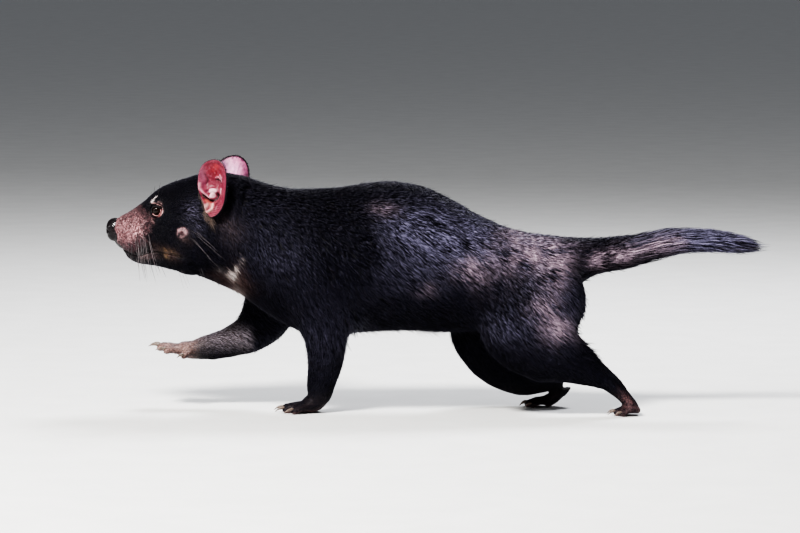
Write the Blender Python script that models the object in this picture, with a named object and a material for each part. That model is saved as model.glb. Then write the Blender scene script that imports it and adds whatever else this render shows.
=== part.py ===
"""A Tasmanian devil at life size, caught in mid-stride with its right forepaw reaching forward.

+Z is up, the head points along -X and the animal's left side faces -Y. The floor is Z = 0.
Tables and sizes are in millimetres and become metres where a mesh is made.
Fur is part of the outline, so each surface here is where the tips of the coat lie.
"""

import math
import random

import bmesh
import bpy
import numpy as np
from mathutils import Matrix, Vector
from mathutils.bvhtree import BVHTree

MM = 0.001

# The gap that neighbouring pieces keep, and the share of it on each side of a cut
GAP = 0.3
HALF_GAP = GAP / 2

# Sides of the animal: the left one is towards -Y
SIDES = {"left": -1, "right": 1}

# The trunk from the neck to the root of the tail:
# x, height of the back, height of the belly, half width, share of the height where it is widest
TRUNK = [
    (-262, 304, 159, 65, 0.45),
    (-246, 303, 151, 64, 0.46),
    (-229, 299, 141, 64, 0.46),
    (-204, 290, 122, 68, 0.45),
    (-178, 285, 106, 73, 0.44),
    (-140, 285, 99, 77, 0.44),
    (-108, 288, 100, 79, 0.44),
    (-78, 293, 102, 80, 0.44),
    (-47, 295, 105, 80, 0.44),
    (-18, 290, 104, 79, 0.45),
    (13, 279, 102, 77, 0.46),
    (51, 257, 102, 73, 0.47),
    (89, 239, 108, 68, 0.50),
    (120, 229, 117, 62, 0.52),
    (153, 226, 132, 52, 0.55),
    (180, 221, 152, 38, 0.60),
    (204, 217, 172, 24, 0.60),
]

# Limbs from the body outwards: x, y on the right side, z, half thickness along the side view,
# half thickness across. Each limb has its own pose, so the two of a pair are two tables.
LIMBS = {
    "foreleg_left": [
        (-160, 44, 222, 40, 20),
        (-160, 48, 188, 47, 28),
        (-148, 46, 148, 40, 28),
        (-136, 40, 114, 31, 24),
        (-132, 33, 84, 26, 21),
        (-134, 27, 60, 23, 18),
        (-138, 23, 40, 19, 17),
        (-141, 20, 24, 17, 17),
        (-143, 19, 11, 16, 17),
    ],
    "foreleg_right": [
        (-190, 42, 220, 36, 20),
        (-192, 46, 186, 42, 28),
        (-200, 47, 146, 40, 27),
        (-214, 48, 111, 33, 24),
        (-239, 49, 91, 25, 20),
        (-263, 50, 81, 20, 18),
        (-284, 50, 76, 17, 17),
        (-306, 50, 73, 14, 17),
    ],
    "hindleg_left": [
        (124, 34, 186, 54, 24),
        (130, 44, 152, 70, 30),
        (124, 50, 118, 66, 31),
        (147, 53, 88, 50, 29),
        (172, 52, 73, 35, 25),
        (194, 51, 61, 24, 20),
        (213, 50, 51, 17, 16),
        (226, 50, 43, 13.5, 14),
        (240, 50, 30, 11, 13.5),
    ],
    "hindleg_right": [
        (104, 34, 184, 52, 24),
        (98, 44, 144, 62, 30),
        (82, 48, 101, 61, 31),
        (92, 48, 65, 43, 29),
        (114, 46, 47, 33, 25),
        (134, 44, 38, 27, 20),
        (156, 42, 34, 19, 17),
        (172, 42, 33, 14, 14),
    ],
}

# Where each limb is parted: the outline's centre and radii at the shoulder or hip, the inner
# wall's distance from the midline at the top and at the floor, the point and direction of the
# cut between upper and lower leg, the height of the crook behind the knee where that cut turns
# back, and the names of the two pieces
PARTINGS = {
    "foreleg_left": dict(
        hub=(-157, 186), radii=(52, 60), foot=(-185, -90), walls=(46, -12),
        joint=(-134, 104), along=(0.08, -1), crook=None, names=("upper_foreleg_left", "forearm_left"),
    ),
    "foreleg_right": dict(
        hub=(-196, 182), radii=(46, 58), foot=(-330, -150), walls=(46, 6),
        joint=(-222, 108), along=(-0.75, -0.66), crook=None, names=("upper_foreleg_right", "forearm_right"),
    ),
    "hindleg_left": dict(
        hub=(128, 150), radii=(84, 62), foot=(60, 290), walls=(34, 8),
        joint=(158, 77), along=(0.93, -0.36), crook=108, names=("thigh_left", "shank_left"),
    ),
    "hindleg_right": dict(
        hub=(98, 145), radii=(72, 62), foot=(20, 220), walls=(34, 8),
        joint=(104, 58), along=(0.90, -0.43), crook=78, names=("thigh_right", "shank_right"),
    ),
}

# The head in its own straight pose, before it turns:
# x, top, bottom, half width, share of the height where it is widest, fullness of the lower half
UPPER_HEAD = [
    (-408, 242, 212, 11, 0.50, 0.9),
    (-400, 246.5, 206, 18, 0.46, 0.8),
    (-390, 252.5, 202, 24, 0.42, 0.7),
    (-378, 259.5, 199, 29, 0.38, 0.7),
    (-366, 268, 197, 34, 0.36, 0.7),
    (-355, 278, 195, 39, 0.38, 0.8),
    (-343, 286, 192, 46, 0.40, 0.9),
    (-328, 292, 187, 54, 0.42, 0.9),
    (-311, 297, 180, 60, 0.43, 0.9),
    (-296, 302, 174, 64, 0.43, 0.9),
    (-279, 304, 167, 66, 0.44, 0.9),
    (-262, 304, 159, 65, 0.45, 0.9),
    (-246, 303, 151, 64, 0.46, 0.9),
    (-232, 300, 143, 64, 0.46, 0.9),
]
LOWER_JAW = [
    (-394, 204, 199, 7, 0.5, 0.8),
    (-388, 206, 193, 14, 0.5, 0.8),
    (-378, 206, 188, 20, 0.5, 0.8),
    (-366, 206, 186, 27, 0.5, 0.8),
    (-350, 205, 185, 36, 0.5, 0.8),
    (-334, 205, 182, 45, 0.5, 0.8),
    (-316, 205, 179, 54, 0.5, 0.8),
    (-298, 205, 175, 59, 0.5, 0.8),
]

# Rounded swellings on the left half of the head: centre, radii
SWELLINGS = [
    ((-366, -20, 214), (27, 14, 14)),
    ((-390, -12, 219), (14, 11, 13)),
    ((-296, -40, 214), (40, 25, 38)),
    ((-334, -27, 264), (26, 13, 11)),
    ((-344, -28, 242), (24, 12, 11)),
]

# The line of the mouth from its corner to the front, where the upper lip hangs over the jaw:
# x, height
MOUTH_LINE = [
    (-304, 200.7), (-318, 202.8), (-332, 204.2), (-344, 204.9), (-354, 203.2),
    (-363, 199.8), (-371, 197.8), (-379, 198.8), (-388, 202.4),
]
MOUTH_FRONT = (-397, 205.6)
MOUTH_DEPTH = 4.0
MOUTH_GAPE = 1.4

# How far the head turns away from -X, to the animal's right, and where along the neck
HEAD_TURN = math.radians(-12)
NECK_BEND = (-178, -246)
NECK_PIVOT = -215

# Eyes, nose and ears, each placed for the left side of the straight head
EYE_CENTRE = (-343.0, -33.5, 257.2)
EYE_RADIUS = 7.0
EYE_FACING = (-0.20, -0.975, 0.06)
LID_THICKNESS = 1.4
LID_OPENING = (5.6, 5.0)
NOSE_CENTRE = (-407.5, 0, 229)
NOSE_RADII = (11.5, 13.5, 15.5)
NOSTRIL_CENTRE = (-416, -6.6, 229.5)
NOSTRIL_RADII = (6.5, 2.2, 3.6)
# The right ear is held a little further forward
EAR_CENTRES = {-1: (-264, -65, 287), 1: (-269, -65, 285)}
EAR_FACING = (-0.30, -0.94, 0.13)
EAR_RADII = (21.5, 38)
EAR_DEPTH = 13
EAR_WALL = 2.8

# The tail out to its short fur: x, height of its middle, radius
TAIL = [
    (186, 197, 27),
    (206, 198, 24.5),
    (232, 201, 23),
    (256, 204, 22),
    (282, 210, 21),
]

# The tail's brush: the smooth outline of its hair, x, height of its middle, radius
BRUSH = [
    (255, 204, 22),
    (276, 209, 21),
    (300, 215, 20.5),
    (319, 218, 18),
    (363, 218, 15),
    (395, 214, 12.5),
    (409, 212, 9),
    (420, 210, 3),
]
BRUSH_CORE = [
    (255, 204, 21.5),
    (270, 207.5, 20.5),
    (284, 211, 14),
    (300, 215, 9.5),
    (330, 218, 7.5),
    (352, 218, 5),
    (366, 218, 2.5),
]
TAIL_CUT = 200
BRUSH_CUT = 268

# The brush's locks in tiers: x of the roots, length, number round the tail, how near the
# middle of the lock comes to the outline, 1 being at it
LOCK_TIERS = [
    (254, 54, 8, 1.03),
    (272, 56, 8, 1.0),
    (292, 60, 7, 0.98),
    (312, 64, 6, 0.95),
    (332, 66, 5, 0.88),
    (352, 65, 3, 0.70),
]
LOCK_WIDTH = 15.5
LOCK_THICKNESS = 5.0
# Along a lock: share of its length, thickness, width, and how far it has risen to the outline
LOCK_SHAPE = [
    (0.0, 1.0, 0.8, 0.0),
    (0.28, 0.95, 1.0, 0.84),
    (0.66, 0.7, 0.72, 1.0),
    (1.0, 0.14, 0.05, 1.0),
]
LOCK_SEED = 7

# Paws: x, y on the right side, z, half thickness in side view and across, from the leg to the
# knuckles, then the height and pitch of the toes, the toes, and the cut that parts the leg
PAWS = {
    "forepaw_left": dict(
        path=[
            (-138, 23, 38, 17, 16), (-141, 20, 24, 16, 17),
            (-147, 19, 13, 13, 18), (-159, 19, 8.5, 10, 19),
        ],
        pitch=0, splay=5, toes="fore", joint=(-140.5, 27), along=(-0.1, -1), leg="forearm_left",
    ),
    "forepaw_right": dict(
        path=[
            (-272, 50, 81, 18, 17), (-288, 50, 76, 16, 17),
            (-305, 50, 73, 12.5, 18), (-322, 50, 74, 10, 19),
        ],
        pitch=15, splay=3, toes="fore", joint=(-287, 76.5), along=(-1, -0.25), leg="forearm_right",
    ),
    "hindpaw_left": dict(
        path=[
            (216, 50, 50, 15, 14), (228, 50, 42, 12.5, 13.5),
            (244, 50, 26, 8.5, 13.5), (256, 50, 11, 8, 15), (257, 50, 6.3, 8, 15),
        ],
        pitch=0, splay=3, toes="hind", joint=(225, 44.5), along=(0.72, -0.69), leg="shank_left",
    ),
    "hindpaw_right": dict(
        path=[
            (172, 42, 42, 14, 14), (171, 42, 30, 13, 14),
            (166, 42, 19, 9.5, 14), (156, 42, 9.5, 8.5, 15), (148, 42, 6.3, 8, 15),
        ],
        pitch=0, splay=5, toes="hind", joint=(160, 22), along=(0.2, -0.98), leg="shank_right",
    ),
}

# Toes: turn from straight ahead, outward place, forward place, length, radius
TOES = {
    "fore": [
        (-22, -14, -3, 19, 6.0), (-7, -5, 0, 25, 6.4), (8, 5, 0, 25, 6.4),
        (23, 14, -3, 20, 6.0), (-62, -15, -15, 13, 5.2),
    ],
    "hind": [
        (-16, -11, -1, 16, 5.2), (-5, -4, 1, 20, 5.6),
        (5, 4, 1, 20, 5.6), (16, 11, -1, 16, 5.2),
    ],
}
CLAWS = {"fore": (13.0, 2.6), "hind": (10.0, 2.3)}

# Cut planes across the trunk: point, and the direction that points to the head
HEAD_CUT = ((-246, 0, 225), (-1.0, 0, 0.20))
NECK_CUT = ((-200, 0, 210), (-1.0, 0, 0.34))

# The mesh sizes that fuse the body and the head, and the triangles left in each
BODY_VOXEL = 5.0
HEAD_VOXEL = 2.6
BODY_TRIANGLES = 3200
HEAD_TRIANGLES = 1800

PAW_VOXEL = 2.0
PAW_TRIANGLES = 440

# Finishes: colour and roughness
COLOURS = {
    "coat": ((0.012, 0.012, 0.018, 1), 0.75),
    "skin": ((0.42, 0.12, 0.11, 1), 0.6),
    "nose": ((0.01, 0.009, 0.012, 1), 0.25),
    "eye": ((0.012, 0.007, 0.004, 1), 0.08),
    "claw": ((0.10, 0.075, 0.06, 1), 0.4),
}


def clear_scene():
    for thing in list(bpy.data.objects):
        bpy.data.objects.remove(thing)


def smooth_rows(rows, per_span):
    """Rows of numbers, made denser by a smooth curve that passes through each of them."""
    rows = np.array(rows, float)
    ends = np.vstack([2 * rows[0] - rows[1], rows, 2 * rows[-1] - rows[-2]])
    t = np.linspace(0, 1, per_span, endpoint=False)[:, None]
    spans = []
    for a, b, c, d in zip(ends, ends[1:], ends[2:], ends[3:]):
        square, cube = 2 * a - 5 * b + 4 * c - d, 3 * b - a - 3 * c + d
        spans.append(0.5 * (2 * b + (c - a) * t + square * t**2 + cube * t**3))
    spans.append(rows[-1:])
    return np.vstack(spans)


def add_object(name, mesh):
    thing = bpy.data.objects.new(name, mesh)
    bpy.context.scene.collection.objects.link(thing)
    return thing


def mesh_from(bm, name):
    bmesh.ops.recalc_face_normals(bm, faces=bm.faces)
    mesh = bpy.data.meshes.new(name)
    bm.to_mesh(mesh)
    bm.free()
    return mesh


def loft(name, rings):
    """A closed body through rings of points in millimetres, with both ends filled."""
    bm = bmesh.new()
    loops = [[bm.verts.new(Vector(p) * MM) for p in ring] for ring in rings]
    for near, far in zip(loops, loops[1:]):
        for i in range(len(near)):
            j = (i + 1) % len(near)
            bm.faces.new((near[i], near[j], far[j], far[i]))
    bm.faces.new(loops[0])
    bm.faces.new(loops[-1])
    return add_object(name, mesh_from(bm, name))


def power(value, exponent):
    return math.copysign(abs(value) ** exponent, value)


def upright_ring(x, top, bottom, half_width, widest, fullness=1.0, sides=28):
    """A section of the trunk or head: egg-shaped, upright, and the same on both sides."""
    middle = bottom + (top - bottom) * widest
    ring = []
    for i in range(sides):
        turn = 2 * math.pi * i / sides
        sine = math.sin(turn)
        rise = (top - middle) if sine > 0 else (middle - bottom)
        shape = 1.0 if sine > 0 else fullness
        across = half_width * power(math.cos(turn), shape)
        ring.append((x, across, middle + rise * power(sine, shape)))
    return ring


def oval(centre, first, second, sides):
    """An oval of points round a centre, with two half axes."""
    turns = [2 * math.pi * k / sides for k in range(sides)]
    return [centre + first * math.cos(t) + second * math.sin(t) for t in turns]


def limb_rings(rows, sides):
    """Rings square to a path: each row is x, y, z, half thickness in side view and across."""
    rows = np.array(rows, float)
    path = rows[:, :3]
    rings = []
    for i, row in enumerate(rows):
        before, after = path[max(i - 1, 0)], path[min(i + 1, len(path) - 1)]
        along = Vector(after - before).normalized()
        across = (Vector((0, 1, 0)) - along * along.y).normalized()
        deep = along.cross(across)
        rings.append(oval(Vector(row[:3]), deep * row[3], across * row[4], sides))
    return rings


def on_side(rows, side):
    """The rows of a limb on one side: y changes sign on the left."""
    rows = np.array(rows, float)
    rows[:, 1] *= side
    return rows


def settled(thing):
    """Gives the object the mesh that its modifiers make, and clears them."""
    graph = bpy.context.evaluated_depsgraph_get()
    mesh = bpy.data.meshes.new_from_object(thing.evaluated_get(graph))
    thing.modifiers.clear()
    thing.data = mesh
    return thing


def discard(things):
    for thing in things:
        bpy.data.objects.remove(thing)


def boolean(thing, others, operation, solver="EXACT"):
    """Joins, cuts or intersects the object with closed meshes, which are then removed."""
    group = bpy.data.collections.new(thing.name + "_tools")
    bpy.context.scene.collection.children.link(group)
    for other in others:
        bpy.context.scene.collection.objects.unlink(other)
        group.objects.link(other)
    step = thing.modifiers.new("step", "BOOLEAN")
    step.operation = operation
    step.operand_type = "COLLECTION"
    step.collection = group
    step.solver = solver
    settled(thing)
    discard(list(group.objects))
    bpy.data.collections.remove(group)
    return largest_piece(thing)


def largest_piece(thing):
    """Keeps the largest closed surface of a mesh."""
    bm = bmesh.new()
    bm.from_mesh(thing.data)
    unseen = set(bm.verts)
    islands = []
    while unseen:
        island, front = set(), [unseen.pop()]
        while front:
            vertex = front.pop()
            island.add(vertex)
            for edge in vertex.link_edges:
                other = edge.other_vert(vertex)
                if other in unseen:
                    unseen.discard(other)
                    front.append(other)
        islands.append(island)
    keep = max(islands, key=len)
    bmesh.ops.delete(bm, geom=[v for v in bm.verts if v not in keep], context="VERTS")
    bm.to_mesh(thing.data)
    bm.free()
    return thing


def joined(name, things):
    """The pieces as one mesh, each still its own surface."""
    bm = bmesh.new()
    for thing in things:
        bm.from_mesh(thing.data)
    discard(things)
    return add_object(name, mesh_from(bm, name))


def fused_skin(thing, voxel, smoothing, triangles):
    """One smooth closed surface round overlapping pieces, thinned to about so many triangles."""
    remesh = thing.modifiers.new("fuse", "REMESH")
    remesh.mode = "VOXEL"
    remesh.voxel_size = voxel * MM
    smooth = thing.modifiers.new("smooth", "SMOOTH")
    smooth.factor = 0.5
    smooth.iterations = smoothing
    settled(thing)
    thin = thing.modifiers.new("thin", "DECIMATE")
    thin.ratio = min(1.0, triangles / sum(len(face.vertices) - 2 for face in thing.data.polygons))
    return largest_piece(settled(thing))


def half(thing, name, point, direction):
    """A copy of the part of a closed mesh that lies on the far side of a plane, half a gap from it."""
    direction = Vector(direction).normalized()
    point = Vector(point) + direction * HALF_GAP
    bm = bmesh.new()
    bm.from_mesh(thing.data)
    geometry = bm.verts[:] + bm.edges[:] + bm.faces[:]
    place = point * MM
    cut = bmesh.ops.bisect_plane(bm, geom=geometry, plane_co=place, plane_no=direction, clear_inner=True)
    rim = [e for e in cut["geom_cut"] if isinstance(e, bmesh.types.BMEdge)]
    bmesh.ops.triangle_fill(bm, use_beauty=True, edges=rim, normal=-direction)
    return largest_piece(add_object(name, mesh_from(bm, name)))


def split(thing, ahead, behind, point, direction):
    """Parts a mesh in two along a plane with the gap between them, and removes the mesh."""
    pair = half(thing, ahead, point, direction), half(thing, behind, point, -Vector(direction))
    discard([thing])
    return pair


def copy_of(thing, name):
    return add_object(name, thing.data.copy())


def turned(thing):
    """Turns the head and bends the neck: no turn behind the bend, the whole turn ahead of it."""
    start, end = NECK_BEND
    for vertex in thing.data.vertices:
        x, y, z = vertex.co / MM
        share = min(1.0, max(0.0, (start - x) / (start - end)))
        angle = HEAD_TURN * share * share * (3 - 2 * share)
        away = x - NECK_PIVOT
        vertex.co.x = (NECK_PIVOT + away * math.cos(angle) - y * math.sin(angle)) * MM
        vertex.co.y = (away * math.sin(angle) + y * math.cos(angle)) * MM
    return thing


def grown(thing, amount):
    """Moves each vertex out along its normal."""
    for vertex in thing.data.vertices:
        vertex.co += vertex.normal * (amount * MM)
    return thing


def ellipsoid(name, centre, radii, segments=16, rings=10):
    bm = bmesh.new()
    place = Matrix.Translation(Vector(centre) * MM) @ Matrix.Diagonal((*(Vector(radii) * MM), 1.0))
    bmesh.ops.create_uvsphere(bm, u_segments=segments, v_segments=rings, radius=1.0, matrix=place)
    return add_object(name, mesh_from(bm, name))


def trunk():
    rings = [upright_ring(*row) for row in smooth_rows(TRUNK, 3)]
    return loft("trunk", rings)


def limb(name):
    side = SIDES[name.rsplit("_", 1)[1]]
    rows = smooth_rows(on_side(LIMBS[name], side), 3)
    return loft(name, limb_rings(rows, 20))


def tail():
    rows = [(x, 0, z, r, r) for x, z, r in smooth_rows(TAIL, 3)]
    return loft("tail", limb_rings(rows, 20))


def limb_region(name, margin):
    """The block of space that a leg takes: an upright outline pushed out from a slanting inner wall."""
    part = PARTINGS[name]
    side = SIDES[name.rsplit("_", 1)[1]]
    (hub_x, hub_z), (reach_x, reach_z) = part["hub"], part["radii"]
    wall_top, wall_floor = part["walls"]
    low_x, high_x = part["foot"]
    outline = []
    for i in range(13):
        turn = math.pi * i / 12
        x = hub_x - (reach_x + margin) * math.cos(turn)
        outline.append((x, hub_z + (reach_z + margin) * math.sin(turn)))
    ahead, behind, waist = low_x - margin, high_x + margin, hub_z * 0.55
    outline += [(behind, waist), (behind, -20), (ahead, -20), (ahead, waist)]
    top = hub_z + reach_z
    rings = []
    for outer in (False, True):
        ring = []
        for x, z in outline:
            wall = wall_floor + (wall_top - wall_floor) * z / top - margin
            ring.append((x, side * (140 if outer else wall), z))
        rings.append(ring)
    return loft(name + "_region", rings)


def knee_wedge(part, margin):
    """The space of a lower leg: below the crook and beyond the cut across the knee."""
    (x, z), (along_x, along_z), crook = part["joint"], part["along"], part["crook"]
    length = math.hypot(along_x, along_z)
    x, z, crook = x - along_x / length * margin, z - along_z / length * margin, crook + margin
    slope = -along_z / along_x
    corner = (x + (crook - z) * slope, crook)
    foot = (x + (-60 - z) * slope, -60)
    outline = [corner, foot, (400, -60), (400, crook)]
    return loft("wedge", [[(px, y, pz) for px, pz in outline] for y in (-150, 150)])


def part_leg(leg, part):
    """Parts a leg at the elbow or knee and removes it."""
    upper, lower = part["names"]
    (x, z), (along_x, along_z) = part["joint"], part["along"]
    if part["crook"]:
        pair = copy_of(leg, upper), copy_of(leg, lower)
        boolean(pair[0], [knee_wedge(part, GAP)], "DIFFERENCE")
        boolean(pair[1], [knee_wedge(part, 0)], "INTERSECT")
        discard([leg])
    else:
        pair = split(leg, upper, lower, (x, 0, z), (-along_x, 0, -along_z))
    return dict(zip(part["names"], pair))


def body_parts():
    """The whole furred body fused, then parted at the neck, the tail and each leg."""
    whole = joined("whole", [turned(trunk()), tail(), *[limb(name) for name in LIMBS]])
    whole = fused_skin(whole, BODY_VOXEL, 6, BODY_TRIANGLES)
    parts = {}
    for name, part in PARTINGS.items():
        leg = boolean(copy_of(whole, name), [limb_region(name, 0)], "INTERSECT")
        parts.update(part_leg(leg, part))
    boolean(whole, [limb_region(name, GAP) for name in PARTINGS], "DIFFERENCE")
    front, back = split(whole, "front", "back", *NECK_CUT)
    parts["neck"] = half(front, "neck", HEAD_CUT[0], -Vector(HEAD_CUT[1]))
    middle, end = split(back, "middle", "end", (TAIL_CUT, 0, 0), (-1, 0, 0))
    parts["torso"] = middle
    parts["tail_base"] = half(end, "tail_base", (BRUSH_CUT, 0, 0), (-1, 0, 0))
    middle.name = "torso"
    discard([front, end])
    return parts


def mirrored(centre):
    return (centre[0], -centre[1], centre[2])


def for_side(centre, side):
    """A place on the left half of the head, or the same place on the right."""
    return Vector(centre) if side < 0 else Vector(mirrored(centre))


def surface_tree(thing):
    bm = bmesh.new()
    bm.from_mesh(thing.data)
    tree = BVHTree.FromBMesh(bm)
    bm.free()
    return tree


def mouth_cutter(tree):
    """A thin curved blade that runs in the line of the mouth from corner to corner."""
    left = []
    for x, z in MOUTH_LINE:
        hit = tree.ray_cast(Vector((x, -120, z)) * MM, Vector((0, 1, 0)))[0]
        left.append(Vector((x, hit.y / MM, z)))
    right = [Vector(mirrored(point)) for point in reversed(left)]
    path = left + [Vector((MOUTH_FRONT[0], 0, MOUTH_FRONT[1]))] + right
    rings = []
    for i, point in enumerate(path):
        along = (path[min(i + 1, len(path) - 1)] - path[max(i - 1, 0)]).normalized()
        outward = along.cross(Vector((0, 0, 1))).normalized()
        if outward.dot(point - Vector((-330, 0, point.z))) < 0:
            outward.negate()
        depth = MOUTH_DEPTH * (0.35 if i in (0, len(path) - 1) else 1)
        lift = Vector((0, 0, MOUTH_GAPE / 2))
        inner, outer = point - outward * depth, point + outward * 8
        rings.append([inner - lift, outer - lift * 2, outer + lift * 2, inner + lift])
    return loft("mouth", rings)


def eye_frame(side):
    facing = for_side(EYE_FACING, side).normalized()
    across = facing.cross(Vector((0, 0, 1))).normalized()
    return facing, across, across.cross(facing)


def lid_opening(side):
    """An almond-shaped core that opens the lids ahead of the eyeball."""
    facing, across, up = eye_frame(side)
    centre = for_side(EYE_CENTRE, side)
    wide, high = LID_OPENING
    rings = []
    for reach in (2.0, 14.0):
        ring = []
        for i in range(20):
            turn = 2 * math.pi * i / 20
            rim = across * wide * math.cos(turn) + up * high * power(math.sin(turn), 1.25)
            ring.append(centre + facing * reach + rim)
        rings.append(ring)
    return loft("lid_opening", rings)


def head_flesh():
    """The straight head, fused, with the mouth's line, sockets and lids cut in it."""
    upper = loft("upper", [upright_ring(*row, sides=36) for row in smooth_rows(UPPER_HEAD, 3)])
    jaw = loft("jaw", [upright_ring(*row, sides=28) for row in smooth_rows(LOWER_JAW, 3)])
    pieces = [upper, jaw]
    for side in SIDES.values():
        pieces.append(ellipsoid("lids", for_side(EYE_CENTRE, side), [EYE_RADIUS + LID_THICKNESS] * 3))
        pieces += [ellipsoid("swelling", for_side(centre, side), radii) for centre, radii in SWELLINGS]
    head = fused_skin(joined("head", pieces), HEAD_VOXEL, 5, HEAD_TRIANGLES)
    cutters = [mouth_cutter(surface_tree(head))]
    for side in SIDES.values():
        centre = for_side(EYE_CENTRE, side)
        cutters += [ellipsoid("socket", centre, [EYE_RADIUS + GAP] * 3, 16, 10), lid_opening(side)]
    return boolean(head, cutters, "DIFFERENCE")


def nose_pad(head):
    nose = ellipsoid("nose", NOSE_CENTRE, NOSE_RADII, 16, 12)
    cutters = [grown(copy_of(head, "space"), GAP)]
    for side in SIDES.values():
        cutters.append(ellipsoid("nostril", for_side(NOSTRIL_CENTRE, side), NOSTRIL_RADII, 8, 6))
    return boolean(nose, cutters, "DIFFERENCE")


def ear_cup(name, side):
    """A cupped ear: an oval dish with a rim, deepest in the middle, and a root into the head."""
    facing = for_side(EAR_FACING, side).normalized()
    across = Vector((0, 0, 1)).cross(facing).normalized()
    up = facing.cross(across)
    centre = for_side(EAR_CENTRES[side], side)
    wide, tall = EAR_RADII
    bm = bmesh.new()
    rows = []
    shares = (1.0, 0.86, 0.66, 0.42, 0.2)
    for face, offset in ((shares, 0.0), (shares[::-1], -EAR_WALL)):
        for share in face:
            ring = []
            for i in range(20):
                turn = 2 * math.pi * i / 20
                lean = 1.0 + 0.10 * math.sin(turn)
                dip = -EAR_DEPTH * (1 - share**2.2) + offset
                rim = across * wide * lean * math.cos(turn) + up * tall * math.sin(turn)
                ring.append(bm.verts.new((centre + rim * share + facing * dip) * MM))
            rows.append(ring)
    rows.append(rows[0])
    for near, far in zip(rows, rows[1:]):
        if near is rows[4]:
            continue
        for i in range(20):
            j = (i + 1) % 20
            bm.faces.new((near[i], near[j], far[j], far[i]))
    bm.faces.new(rows[4])
    bm.faces.new(rows[5])
    return add_object(name, mesh_from(bm, name))


def ear(name, side, head):
    cup = ear_cup(name, side)
    facing = for_side(EAR_FACING, side).normalized()
    root = for_side(EAR_CENTRES[side], side) - facing * (EAR_DEPTH + 9) + Vector((-3, 0, -12))
    boolean(cup, [ellipsoid("root", root, (13, 13, 20), 12, 8)], "UNION")
    return boolean(cup, [grown(copy_of(head, "space"), GAP)], "DIFFERENCE")


def head_parts():
    head = head_flesh()
    parts = {"nose": nose_pad(head)}
    for word, side in SIDES.items():
        parts["ear_" + word] = ear("ear_" + word, side, head)
        centre = for_side(EYE_CENTRE, side)
        parts["eye_" + word] = ellipsoid("eye_" + word, centre, [EYE_RADIUS] * 3, 16, 10)
    for thing in parts.values():
        turned(thing)
    parts["head"] = half(turned(head), "head", *HEAD_CUT)
    discard([head])
    return parts


def outline_at(rows, x):
    """Height of the middle and radius of a tail table at one place along it."""
    rows = np.array(rows, float)
    return np.interp(x, rows[:, 0], rows[:, 1]), np.interp(x, rows[:, 0], rows[:, 2])


def lock(x_root, length, turn, reach, twist):
    """One flat tapered lock that rises from the core to the outline and bends in to its tip."""
    rings = []
    for share, thick_share, wide_share, rise in LOCK_SHAPE:
        x = x_root + length * share
        middle, outline = outline_at(BRUSH, min(x, BRUSH[-1][0]))
        core = outline_at(BRUSH_CORE, x)[1] * 0.4
        thick, wide = LOCK_THICKNESS * thick_share, LOCK_WIDTH * wide_share
        radius = core + (max(outline * reach - thick / 2, 0.5) - core) * rise
        angle = turn + twist * share
        out = Vector((0, math.cos(angle), math.sin(angle)))
        round_about = Vector((0, -math.sin(angle), math.cos(angle)))
        centre = Vector((x, 0, middle)) + out * radius
        half_wide, half_thick = round_about * wide / 2, out * thick / 2
        rings.append([centre - half_wide, centre - half_thick, centre + half_wide, centre + half_thick])
    return loft("lock", rings)


def brush():
    """The tail's end: a thin core with long hair in overlapping tiers of locks."""
    draw = random.Random(LOCK_SEED)
    rows = [(x, 0, z, r, r) for x, z, r in smooth_rows(BRUSH_CORE, 2)]
    whole = loft("brush", limb_rings(rows, 12))
    locks = []
    for x_root, length, count, reach in LOCK_TIERS:
        start = draw.uniform(0, 2 * math.pi)
        for i in range(count):
            turn = start + 2 * math.pi * (i + draw.uniform(-0.15, 0.15)) / count
            longer, twist = draw.uniform(0.9, 1.1), draw.uniform(-0.25, 0.25)
            locks.append(lock(x_root + draw.uniform(-2, 3), length * longer, turn, reach, twist))
    boolean(whole, locks, "UNION")
    end = half(whole, "tail_brush", (BRUSH_CUT, 0, 0), (1, 0, 0))
    discard([whole])
    return end


def paw_frame(paw, side):
    """The directions ahead, outward and up of a paw, and the place of its knuckles on its sole."""
    pitch, splay = math.radians(paw["pitch"]), math.radians(paw["splay"])
    ahead = Vector((-math.cos(pitch) * math.cos(splay), side * math.sin(splay), math.sin(pitch)))
    outward = Vector((math.sin(splay), side * math.cos(splay), 0))
    up = Vector((math.sin(pitch), 0, math.cos(pitch)))
    x, y, z, deep, _ = paw["path"][-1]
    return ahead, outward, up, Vector((x, side * y, z)) - up * (deep - 1.2)


def toe_and_claw(name, paw, number, side):
    """One toe as a curved limb with a rounded pad, and its claw."""
    turn, outer, start, length, radius = TOES[paw["toes"]][number]
    ahead, outward, up, knuckles = paw_frame(paw, side)
    turn = math.radians(turn)
    line = ahead * math.cos(turn) + outward * math.sin(turn)
    root = knuckles + outward * outer + ahead * start

    def along(reach, height):
        return root + line * reach + up * height

    across = line.cross(up)
    low = radius - 1.2
    rows = [(-8, 8.0, 1.0), (2, 8.5, 1.0), (length * 0.55, 8.0, 0.95), (length, low, 0.9)]
    rings = []
    for reach, height, share in rows:
        rings.append(oval(along(reach, height), across * radius * share, up * radius * share, 12))
    toe = [loft("toe", rings), ellipsoid("pad", along(length, low), [radius * 0.95] * 3, 12, 8)]
    long, thick = CLAWS[paw["toes"]]
    profile = [(-1.5, 0.95, 0.0), (4.0, 0.9, 0.5), (long * 0.72, 0.55, -1.6), (long, 0.12, -4.6)]
    rings = []
    for reach, share, rise in profile:
        middle = along(length + reach + 2.0, radius + 0.8 + rise)
        rings.append(oval(middle, across * thick * 0.8 * share, up * thick * share, 5))
    return toe, loft(f"{name.replace('paw', 'claw')}_{number + 1}", rings)


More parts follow.
